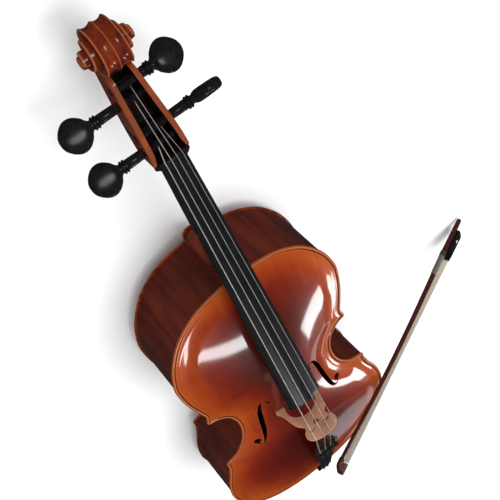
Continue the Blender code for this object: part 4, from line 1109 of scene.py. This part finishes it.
def make_bridge(stuff):
    feet_x = np.linspace(46.4, 28.2, 7)
    feet = np.column_stack([feet_x, belly(feet_x, np.full(7, BRIDGE_Y)) + 0.15])
    half = np.vstack([spline(BRIDGE_OUTSIDE, 8), feet, spline(BRIDGE_INSIDE, 6)])
    outline = np.vstack([half, (half[1:-1] * (-1, 1))[::-1]])
    for radius, place in STRINGS.values():
        off = np.abs(outline[:, 0] - place * SPREAD_AT_BRIDGE)
        outline[:, 1] -= np.where((outline[:, 1] > 106) & (off < radius + 0.2), 0.5, 0)
    sections = []
    for side in (-1, 1):
        thick = (11 - 8.2 * (outline[:, 1] - 16) / 100) / 2
        sections.append(np.column_stack([outline[:, 0], BRIDGE_Y + side * thick, outline[:, 1]]))
    bridge = make("carved_bridge", loft(sections))
    heart = [*HALF_HEART, *((-x, z) for x, z in reversed(HALF_HEART[1:-1]))]
    tools = []
    for shape, x, z, sign in ((heart, 0, 82, 1), (KIDNEY, -16.5, 93, 1), (KIDNEY, 16.5, 93, -1)):
        closed = spline([*shape, shape[0]], 4)[:-1]
        rows = [[(x + sign * p, y, z + q) for p, q in closed] for y in (BRIDGE_Y - 12, BRIDGE_Y + 12)]
        tools.append(make("cut", loft(rows)))
    boolean(bridge, tools, "DIFFERENCE")
    bevel(bridge, 0.45)
    show(bridge, stuff["bridge"], "cello", ["bridge"])


TAILPIECE = Matrix.Translation((0, 244, 81)) @ Matrix.Rotation(math.atan(0.291), 4, "X")
TUNER_Y = -20


def in_tailpiece(point):
    return np.array(TAILPIECE @ Vector(point))


SILK_POINTS = 72
BALL = ((-2.2, 0.6), (-2.1, 1.3), (-1.2, 1.6), (1.2, 1.6), (2.1, 1.3), (2.2, 0.6))


def line_between(start, end, shares):
    start, end = np.array(start), np.array(end)
    return [tuple((1 - t) * start + t * end) for t in shares]


def string_path(name):
    """From the windings on the peg over the nut and the bridge to the tuner's lever."""
    radius, place = STRINGS[name]
    y, z, side, _ = PEGS[name]
    at_nut, at_bridge = place * SPREAD_AT_NUT, place * SPREAD_AT_BRIDGE
    clear = radius + 0.05
    turns, around = 3.2, 5.9 + clear
    path = []
    for t in np.linspace(0, 1, SILK_POINTS):
        angle = math.pi / 2 + 2 * math.pi * turns * (1 - t)
        x = at_nut * 0.62 + side * (1 - t) * turns * 2.1 * radius
        path.append((x, y + around * math.cos(angle), z + around * math.sin(angle)))
    top = nut_top(at_nut) + clear
    over_nut = [(at_nut, 1029.6, top - 3.0), (at_nut, 1025, top - 0.45), (at_nut, 1021, top + 0.05)]
    path += line_between(path[-1], over_nut[0], [0.08])
    path += over_nut
    crest = bridge_crest(at_bridge) + clear
    path += line_between(over_nut[-1], (at_bridge, BRIDGE_Y + 1.6, crest), np.linspace(0.02, 0.98, 24))
    for ahead, drop in ((1.4, 0), (0, -0.1), (-1.4, 0.3)):
        path.append((at_bridge, BRIDGE_Y + ahead, crest - drop))
    hook = in_tailpiece((place * SPREAD_AT_TAILPIECE, 5.6, 4.6))
    path += line_between((at_bridge, BRIDGE_Y - 1.6, crest - 0.4), hook, np.linspace(0.05, 1, 12))
    return path


def make_strings(stuff):
    sides = 10
    for name, (radius, place) in STRINGS.items():
        path = string_path(name)
        string = make(f"wound_string_{name}", tube(path, radius, sides), angle=50)
        attribute(string, "silk", np.repeat(np.arange(len(path)) < SILK_POINTS, sides))
        show(string, stuff["string"], "cello", [f"string_{name}"])
        hook = in_tailpiece((place * SPREAD_AT_TAILPIECE, 6.9, 4.6))
        ball = make(f"string_ball_{name}", turned(hook, "X", BALL, 16), angle=45)
        show(ball, stuff["brass"], "cello")


# Distances from the tailpiece's upper end, with its half width there, and its sections' places.
TAILPIECE_HALVES = (
    (0, 26), (1, 27.2), (3, 28.2), (6, 28.7), (18, 28.2), (50, 25.2), (90, 21.6), (165, 16.2), (205, 14.2),
    (216, 13), (223, 10.6), (226.5, 7.6), (228, 4.5),
)
TAILPIECE_STATIONS = (
    0, 0.6, 1.6, 3, 6, 8, 9, 10, 11, 12, 18, 34, 50, 70, 90, 115, 140, 165, 185, 205, 210, 216, 220, 223, 225,
    226.5, 227.6, 228,
)


def make_tailpiece(stuff):
    distances, halves = zip(*TAILPIECE_HALVES)
    sections = []
    for below in TAILPIECE_STATIONS:
        half = float(np.interp(below, distances, halves))
        crown = 4.0 + (1.4 if 8.5 < below < 11.5 else 0.0)
        end_drop = 1.4 * max(0, 1 - below / 3) ** 2 + 3.2 * max(0, (below - 216) / 12) ** 2
        lip = 0.0 if end_drop < 0.1 else end_drop * 0.2
        ring = []
        for share in np.linspace(1, -1, 33):
            ring.append((share * half, -below, (crown - end_drop) * (1 - share * share) - lip))
        under = [(half, -1.6), (half - 1.8, -3.9)]
        ring += [(-x, -below, z) for x, z in under] + [(0, -below, -3.0)]
        ring += [(x, -below, z) for x, z in reversed(under)]
        sections.append(ring)
    body = make("tailpiece_body", loft(sections), TAILPIECE, 35)
    tools = []
    for _, place in STRINGS.values():
        bore = turned((place * SPREAD_AT_TAILPIECE, TUNER_Y, -10), "Z", ((0, 2.1), (20, 2.1)), 24)
        tools.append(make("hole", bore, TAILPIECE))
    boolean(body, tools, "DIFFERENCE")
    smooth(body, 35)
    show(body, stuff["peg"], "cello", ["tailpiece"])


def knurled(stations, sides, tooth, depth, low, high):
    """Stations of a turned piece whose grip, between two distances, is cut into teeth."""
    cut = np.arange(sides) % tooth >= tooth / 2
    return [(at, radius - depth * cut if low < at < high else radius) for at, radius in stations]


TUNER_SCREW = (
    (-7.2, 1.2), (-6.9, 1.6), (4.55, 1.6), (4.6, 3.2), (4.9, 3.4), (5.3, 4.6), (6.0, 5.0), (10.0, 5.0),
    (10.7, 4.7), (11.2, 4.0), (11.5, 2.0),
)
TUNER_LEVER = (
    (-24, -9), (-24.4, -8.2), (-24, -7.55), (-16, -7.5), (-8, -6), (-2, -5.4), (1.0, -5), (1.7, -4), (2.0, 0),
    (2.2, 3.0), (2.8, 4.4), (4.0, 5.2), (5.2, 4.6), (5.3, 3.4), (5.2, -7), (4, -8.6), (-3, -9.5), (-16, -9.8),
)


def make_tuners(stuff):
    sides = 96
    screw_stations = knurled(TUNER_SCREW, sides, 4, 0.22, 5.5, 10.5)
    for name, (_, place) in STRINGS.items():
        x = place * SPREAD_AT_TAILPIECE
        shape = turned((x, TUNER_Y, 0), "Z", screw_stations, sides)
        screw = make(f"knurled_screw_{name}", shape, TAILPIECE, 35)
        show(screw, stuff["tuner"], f"tuner_screw_{name}", [f"tuner_screw_{name}"])
        sections = [[(x + out, y, z) for y, z in TUNER_LEVER] for out in (-2.6, 2.6)]
        lever = make(f"lever_arm_{name}", loft(sections), TAILPIECE, 35)
        slot = make("slot", box((x - 0.9, 1.0, 2.2), (x + 0.9, 8, 8)), TAILPIECE)
        boolean(lever, [slot], "DIFFERENCE")
        bevel(lever, 0.3)
        show(lever, stuff["tuner"], f"tuner_lever_{name}", [f"tuner_lever_{name}"])


PLUG_NECK = 8
CORD_RADIUS = 1.6
SADDLE_SIDE = (
    (0.6, -4.2), (8, -4.2), (8, 4.5), (7.4, 6.4), (6.2, 7.8), (4.6, 8.4), (2.8, 8.2), (1.4, 7.2), (0.6, 5.4),
)
CORD_DOWN = (
    (5, 15.6, 11.6), (5, 9, 10.6), (5, 2, 10.6), (5, -1.8, 8.6), (5.4, -3.2, 4), (6.4, -3.2, -20),
    (8.4, -3.2, -46),
)


def make_saddle_and_cord(stuff):
    sections = []
    for x in (-18, -17.4, -10, 0, 10, 17.4, 18):
        drop = 1.2 if abs(x) > 17.8 else 0.0
        sections.append([(x, y, z - (drop if z > 0 else 0)) for y, z in SADDLE_SIDE])
    saddle = make("end_saddle", loft(sections), angle=45)
    show(saddle, stuff["ebony"], "cello", ["saddle"])
    radius = PLUG_NECK + CORD_RADIUS + 0.6
    half_turn = np.linspace(0, math.pi, 13)
    arc = [(radius * math.cos(a), -3.2, MID_RIB - radius * math.sin(a)) for a in half_turn]
    path = [*CORD_DOWN, *arc, *((-x, y, z) for x, y, z in reversed(CORD_DOWN))]
    cord = make("tail_cord_loop", tube(spline(path, 4), CORD_RADIUS, 14), angle=0)
    show(cord, stuff["cord"], "cello", ["tail_cord"])


ENDPIN_SOCKET = (
    (-30, 5.3), (-30, 9.6), (-29.4, 10.6), (-28, 11.4), (-26, 11.6), (-15, 11.6), (-14.2, 12.6),
    (-13.4, 14.2), (-12, 14.5), (-9, 14.5), (-8.2, 13.6), (-7.8, 8), (-1.5, 8), (-1.2, 12.6),
    (44, 12.2), (44, 5.3),
)
ENDPIN_ROD = ((-52, 0.5), (-51.6, 1.0), (-40, 4.6), (-38, 5.0), (424, 5.0), (425, 4.4))
THUMBSCREW = (
    (5.8, 1.6), (6.2, 2.2), (13.6, 2.2), (13.8, 3.6), (14.8, 4.6), (15.3, 6.2), (16, 6.6), (20.6, 6.6),
    (21.4, 6.1), (22, 4.8),
)


def make_endpin(stuff):
    at = (0, 0, MID_RIB)
    at_screw = (0, -21, MID_RIB)
    plug = make("endpin_socket", turned(at, "Y", ENDPIN_SOCKET, 48, closed=True), angle=40)
    hole = make("hole", turned(at_screw, "X", ((3, 2.5), (20, 2.5)), 24))
    boolean(plug, [hole], "DIFFERENCE")
    smooth(plug, 40)
    show(plug, stuff["peg"], "cello", ["endpin_plug"])
    rod = make("endpin_shaft", turned(at, "Y", ENDPIN_ROD, 36), angle=40)
    show(rod, stuff["chrome"], "endpin", ["endpin_rod"])
    stations = knurled(THUMBSCREW, 72, 6, 0.45, 15.5, 21)
    screw = make("clamp_screw", turned(at_screw, "X", stations, 72), angle=35)
    show(screw, stuff["chrome"], "thumbscrew", ["endpin_thumbscrew"])


# ---------------------------------------------------------------- bow

BOW_TIP, BOW_END = Vector((-3.7, 134, 86)), Vector((580.5, 220.2, -142.2))
BOW_LENGTH = (BOW_END - BOW_TIP).length
BOW_ROLL = math.radians(85)
FROG_FRONT, FROG_BACK = BOW_LENGTH - 87, BOW_LENGTH - 26
FROG_HALF = 9.5
HEAD_HALF = 7.5
HAIR = 25.0
STICK_SIDES = 32
HEAD_SIDE = (
    (-2, HAIR), (-1.6, 21), (-0.2, 16), (1.4, 10.5), (3.4, 5), (6, 0.4), (9.5, -2.6), (14, -4.0), (20, -4.2),
    (28, -4.0), (28, 4.0), (23.6, 5.6), (20.6, 8.6), (19.2, 12.6), (19.4, 17), (21.2, 21.4), (24, HAIR),
)
BUTTON = (
    (-48, 1.4), (0, 1.4), (0.05, 4.8), (0.6, 5.4), (3.2, 5.5), (3.6, 5.1), (4.0, 5.1), (4.4, 5.5),
    (11.4, 5.1), (11.8, 4.7), (12.4, 4.7), (12.8, 4.9), (14.4, 4.4), (15.6, 3.0), (16, 1.2),
)


def bow_axes():
    """The bow's own axes: along it from the head, and from the stick towards the hair."""
    along = (BOW_END - BOW_TIP).normalized()
    up = (Vector((0, 0, 1)) - along * along.z).normalized()
    up.rotate(Quaternion(along, BOW_ROLL))
    matrix = Matrix((along, up.cross(along), up)).transposed().to_4x4()
    matrix.translation = BOW_TIP
    return matrix


BOW = bow_axes()


def stick_z(s):
    share = min(1.0, max(0.0, (s - 12) / (FROG_FRONT - 12)))
    return 11 * math.sin(math.pi * share) ** 1.2


def stick_radius(s):
    share = min(1.0, max(0.0, s / (BOW_LENGTH * 0.75)))
    return 4.0 + 1.5 * share


def octagon(sides):
    """How far out an eight-sided ring lies against a round one."""
    angle = np.linspace(0, 2 * math.pi, sides, endpoint=False)
    corner = math.pi / 8
    return math.cos(corner) / np.cos((angle + corner) % (2 * corner) - corner)


def stick_ring(s, radius):
    """A section of the stick, which turns from round to eight-sided near the frog."""
    facet = min(1.0, max(0.0, (s - (FROG_FRONT - 60)) / 30))
    a, b = circle(radius * (1 + facet * (octagon(STICK_SIDES) * 1.03 - 1)), STICK_SIDES).T
    return np.stack([np.full(STICK_SIDES, s), a, stick_z(s) + b], axis=1)


def head_rows():
    """The head's outline at places across it, narrower along the edges and broader towards the hair."""
    side = np.array(HEAD_SIDE, float)
    middle = side.mean(0)
    half = np.interp(side[:, 1], (0, 8, 20, HAIR), (4.3, 4.8, 6.8, HEAD_HALF))
    rows = []
    for share in np.linspace(-1, 1, 13):
        s, z = (middle + (side - middle) * (1 - 0.1 * abs(share) ** 3)).T
        rows.append(np.stack([s, share * half, z], axis=1))
    return rows


def make_bow_stick(stuff):
    end = BOW_LENGTH - 16.3
    rings = [stick_ring(s, stick_radius(s)) for s in np.linspace(10, end, 90)]
    stick = make("cambered_stick", loft(rings), BOW)
    head = make("head", loft(head_rows()), BOW)
    boolean(stick, [head], "UNION")
    end_bore = make("bore", turned((end - 51, 0, 0), "X", ((0, 1.9), (60, 1.9)), 24), BOW)
    mortise = make("bore", box((BOW_LENGTH - 59, -2.6, -2.6), (BOW_LENGTH - 42, 2.6, 10)), BOW)
    boolean(stick, [end_bore, mortise], "DIFFERENCE")
    smooth(stick, 40)
    show(stick, stuff["bow"], "bow", ["bow_stick"])
    low, high = HAIR + 0.3, HAIR + 1.5
    outline = [(-2.6, low), (24.2, low), (24.2, high), (4, high), (-3, high)]
    sections = [[(s, y, z) for s, z in outline] for y in (-HEAD_HALF, HEAD_HALF)]
    plate = make("bow_face_plate", loft(sections), BOW)
    bevel(plate, 0.3)
    show(plate, stuff["ivory"], "bow", ["bow_head_plate"])


def sleeve(name, low, high, proud, pitch, ridge):
    """A wrapping round the stick, with a ridge for each turn."""
    along = np.linspace(low, high, int((high - low) / pitch * 4) + 1)
    rings = []
    for s in along:
        ripple = ridge * math.sin(2 * math.pi * (s - low) / pitch)
        rings.append(stick_ring(s, stick_radius(s) + proud + ripple))
    bore = (high, (low + high) / 2, low)
    rings += [stick_ring(s, stick_radius(s) + 0.35) for s in bore]
    made = make(name, loft(rings, closed=True), BOW, 50)
    turns = np.concatenate([(along - low) / pitch, np.zeros(len(bore))])
    attribute(made, "strand", np.repeat(turns, STICK_SIDES))
    return made


def make_wrappings(stuff):
    wire = sleeve("wire_lapping", FROG_FRONT - 62, FROG_FRONT - 14, 0.75, 0.9, 0.16)
    show(wire, stuff["wire"], "bow", ["bow_lapping"])
    grip = sleeve("thumb_leather", FROG_FRONT - 13.5, FROG_FRONT - 2, 1.2, 3.0, 0.04)
    show(grip, stuff["leather"], "bow", ["bow_thumb_grip"])


def make_frog(stuff):
    front, back, low, top = FROG_FRONT, FROG_BACK, 5.8, HAIR + 3
    side = [(front, low), (back - 1, low), (back, low + 1), (back, top - 10), (back - 1.4, top - 5)]
    side += [(back - 4.5, top - 1.4), (back - 9, top), (front, top), (front, top - 5.6)]
    side += [(front + 5, top - 6.4), (front + 8.4, top - 9.4), (front + 8.6, low + 6)]
    side += [(front + 6, low + 3), (front + 1.5, low + 1.8)]
    frog = make("carved_frog", loft([[(s, y, z) for s, z in side] for y in (-FROG_HALF, FROG_HALF)]), BOW)
    bevel(frog, 0.6, 3)
    show(frog, stuff["frog"], "bow_frog", ["bow_frog"])
    make_ferrule(stuff, front - 11, front - 0.3, top)
    slide = make("pearl_strip", box((front + 1, -6.5, top + 0.3), (back - 9, 6.5, top + 1.2)), BOW)
    bevel(slide, 0.25)
    show(slide, stuff["pearl"], "bow_frog", ["bow_pearl_slide"])
    for sign, word in ((-1, "near"), (1, "far")):
        centre = (front + 38, sign * (FROG_HALF + 0.3), low + 10)
        profile = ((0, 3.1), (sign * 0.7, 3.1), (sign * 0.8, 2.8))
        disc = make(f"pearl_eye_{word}", turned(centre, "Y", profile, 36), BOW, 40)
        show(disc, stuff["pearl"], "bow_frog", [f"bow_frog_eye_{word}"])
        loop = [(0, 3.2), (0, 4.6), (sign * 0.6, 4.6), (sign * 0.8, 4.3), (sign * 0.8, 3.2)]
        ring = make(f"silver_eye_ring_{word}", turned(centre, "Y", loop, 36, closed=True), BOW, 40)
        show(ring, stuff["chrome"], "bow_frog")
    heel = make("frog_heel_plate", box((back + 0.1, -9, low + 0.6), (back + 0.9, 9, top - 11)), BOW)
    bevel(heel, 0.25)
    show(heel, stuff["chrome"], "bow_frog")


def make_ferrule(stuff, start, end, top):
    """The half-round band that spreads the hair where it enters the frog."""
    low = top - 5.5

    def band(half, base, crest, rise):
        arch = [(half * math.cos(a), crest + rise * math.sin(a)) for a in np.linspace(0, math.pi, 17)]
        return [(-half, base), (half, base), *arch]

    outer = band(FROG_HALF, low, top - 2, 2)
    inner = band(FROG_HALF - 0.9, low + 0.8, top - 2.6, 1.8)
    rings = ((start, outer), (end, outer), (end, inner), (start, inner))
    rows = [[(s, y, z) for y, z in ring] for s, ring in rings]
    ferrule = make("frog_ferrule", loft(rows, closed=True), BOW, 40)
    show(ferrule, stuff["chrome"], "bow_frog", ["bow_ferrule"])


def make_hair(stuff):
    """One closed ribbon whose two faces are ridged like strands laid side by side."""
    start, end, strands = 25.0, FROG_FRONT - 0.8, 46
    sections, numbers = [], []
    for s in np.linspace(start, end, 40):
        share = (s - start) / (end - start)
        half = 7.0 + 1.2 * share
        fade = 0.5 + 0.5 * min(1, share * 12, (1 - share) * 12)
        ring, mark = [], []
        for face, z0 in ((1, HAIR + 0.45), (-1, HAIR - 0.55)):
            steps = range(2 * strands + 1) if face == 1 else range(2 * strands, -1, -1)
            for k in steps:
                y = half * (k / strands - 1)
                ridge = (0.22 if k % 2 else -0.05) * fade
                wander = 0.12 * noise.noise(Vector((k * 0.7, s * 0.012, face * 3.0)))
                ring.append((s, y + wander, z0 + face * ridge))
                mark.append(k * 0.83)
        sections.append(ring)
        numbers += mark
    hair = make("hair_ribbon", loft(sections), BOW, 60)
    attribute(hair, "strand", numbers)
    show(hair, stuff["hair"], "bow", ["bow_hair"])


def make_button(stuff):
    """The bow's screw and its button, eight-sided between its two round collars."""
    flats = octagon(48)
    stations = [(s, radius * flats if 4.2 < s < 11.6 else radius) for s, radius in BUTTON]
    button = make("adjusting_screw", turned((BOW_LENGTH - 16, 0, 0), "X", stations, 48), BOW, 35)
    show(button, stuff["bow"], "bow_button", ["bow_screw_button"])


# ---------------------------------------------------------------- stage

# Softboxes: place and target in the world in metres, size and power. The first is left out of reflections.
LAMPS = (
    ((0.6, -0.2, 3.2), (-0.1, 0, 0), (2.5, 2.5), 60),
    ((-0.30, -1.36, 1.44), (-0.28, 0.05, 0.15), (0.44, 0.12), 1.9),
    ((0.84, -2.10, 1.22), (-0.08, -0.05, 0.15), (0.28, 0.30), 2.4),
    ((0.62, -2.60, 0.72), (-0.1, -0.35, 0.15), (0.8, 0.3), 0.7),
    ((-0.05, 1.5, 1.75), (-0.25, 0.5, 0.1), (0.5, 0.5), 3),
)
PALE_WORLD = (0.97, 0.97, 0.97, 1)
REFLECTED_WORLD = (0.02, 0.02, 0.021, 1)


def make_stage():
    bpy.ops.mesh.primitive_plane_add(size=14, location=(0, 0, 0))
    floor = bpy.context.object
    floor.name = "floor"
    floor.data.materials.append(floor_material())
    floor.visible_glossy = False
    make_world()
    for number, (place, target, size, power) in enumerate(LAMPS):
        lamp(place, target, size, power, glossy=number > 0)
    view = bpy.context.scene.view_settings
    view.view_transform = "Standard"
    view.look = "None"
    view.exposure = 0.0


def make_world():
    """A pale surround that is dark in reflections, so that the varnish keeps its colour."""
    world = bpy.data.worlds.new("studio")
    bpy.context.scene.world = world
    world.use_nodes = True
    tree = world.node_tree
    rays = tree.nodes.new("ShaderNodeLightPath")
    shade = tree.nodes.new("ShaderNodeMix")
    shade.data_type = "RGBA"
    shade.inputs[6].default_value = PALE_WORLD
    shade.inputs[7].default_value = REFLECTED_WORLD
    tree.links.new(rays.outputs["Is Glossy Ray"], shade.inputs[0])
    tree.links.new(shade.outputs[2], tree.nodes["Background"].inputs["Color"])


def lamp(place, target, size, power, glossy):
    data = bpy.data.lights.new("softbox", "AREA")
    data.shape = "RECTANGLE"
    data.size, data.size_y = size
    data.energy = power
    made = bpy.data.objects.new("softbox", data)
    made.location = place
    made.rotation_euler = (Vector(target) - Vector(place)).to_track_quat("-Z", "Y").to_euler()
    made.visible_glossy = glossy
    bpy.context.scene.collection.objects.link(made)


# The camera, in the instrument's axes and millimetres.
CAMERA_PLACE = (-211.9, 1793.1, 787.1)
CAMERA_FORWARD = (0.19514, -0.77273, -0.60399)
CAMERA_UP = (0.59726, 0.58210, -0.55176)
CAMERA_LENS = 60.75


def make_camera():
    data = bpy.data.cameras.new("camera")
    data.sensor_width = 36
    data.lens = CAMERA_LENS
    data.clip_start, data.clip_end = 0.02, 50
    camera = bpy.data.objects.new("camera", data)
    forward = Vector(CAMERA_FORWARD).normalized()
    right = forward.cross(Vector(CAMERA_UP)).normalized()
    up = right.cross(forward)
    matrix = Matrix((right, up, -forward)).transposed().to_4x4()
    matrix.translation = Vector(CAMERA_PLACE) * MM + Vector(ORIGIN)
    camera.matrix_world = matrix
    bpy.context.scene.collection.objects.link(camera)
    bpy.context.scene.camera = camera


# ---------------------------------------------------------------- all of it


def main():
    stuff = {
        "spruce": spruce_varnish(),
        "back": maple_varnish("varnished_back", (0.30, 0.05, 0.01), (0.13, 0.015, 0.004)),
        "ribs": rib_varnish(),
        "neck": maple_varnish("varnished_neck", (0.15, 0.028, 0.010), (0.085, 0.013, 0.006)),
        "head": scroll_varnish(),
        "ebony": ebony(),
        "board": ebony("board_ebony", 0.3, 0.15),
        "peg": ebony("polished_ebony", 0.22, 0.6),
        "frog": ebony("frog_ebony", 0.25, 0.4),
        "bridge": bridge_maple(),
        "wood": bare_wood(),
        "string": wound_string(),
        "chrome": metal("bright_steel", (0.8, 0.8, 0.81), 0.2),
        "brass": metal("brass_fitting", (0.72, 0.5, 0.2), 0.3),
        "cord": cord_black(),
        "tuner": black_metal(),
        "bow": bow_wood(),
        "hair": horsehair(),
        "pearl": pearl(),
        "ivory": ivory_plastic(),
        "leather": leather(),
        "wire": silver_wire(),
    }
    make_plates(stuff)
    make_ribs(stuff)
    make_linings(stuff)
    make_corner_blocks(stuff)
    make_head(stuff)
    make_fingerboard(stuff)
    make_nut(stuff)
    make_pegs(stuff)
    make_bridge(stuff)
    make_strings(stuff)
    make_tailpiece(stuff)
    make_tuners(stuff)
    make_saddle_and_cord(stuff)
    make_endpin(stuff)
    make_bow_stick(stuff)
    make_wrappings(stuff)
    make_frog(stuff)
    make_hair(stuff)
    make_button(stuff)
    for name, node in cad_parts.items():
        if not node.hide_render:
            material = stuff["brass"] if name == "bow_frog_eyelet" else stuff["wood"]
            node.data.materials.clear()
            node.data.materials.append(material)
    make_stage()
    make_camera()


main()
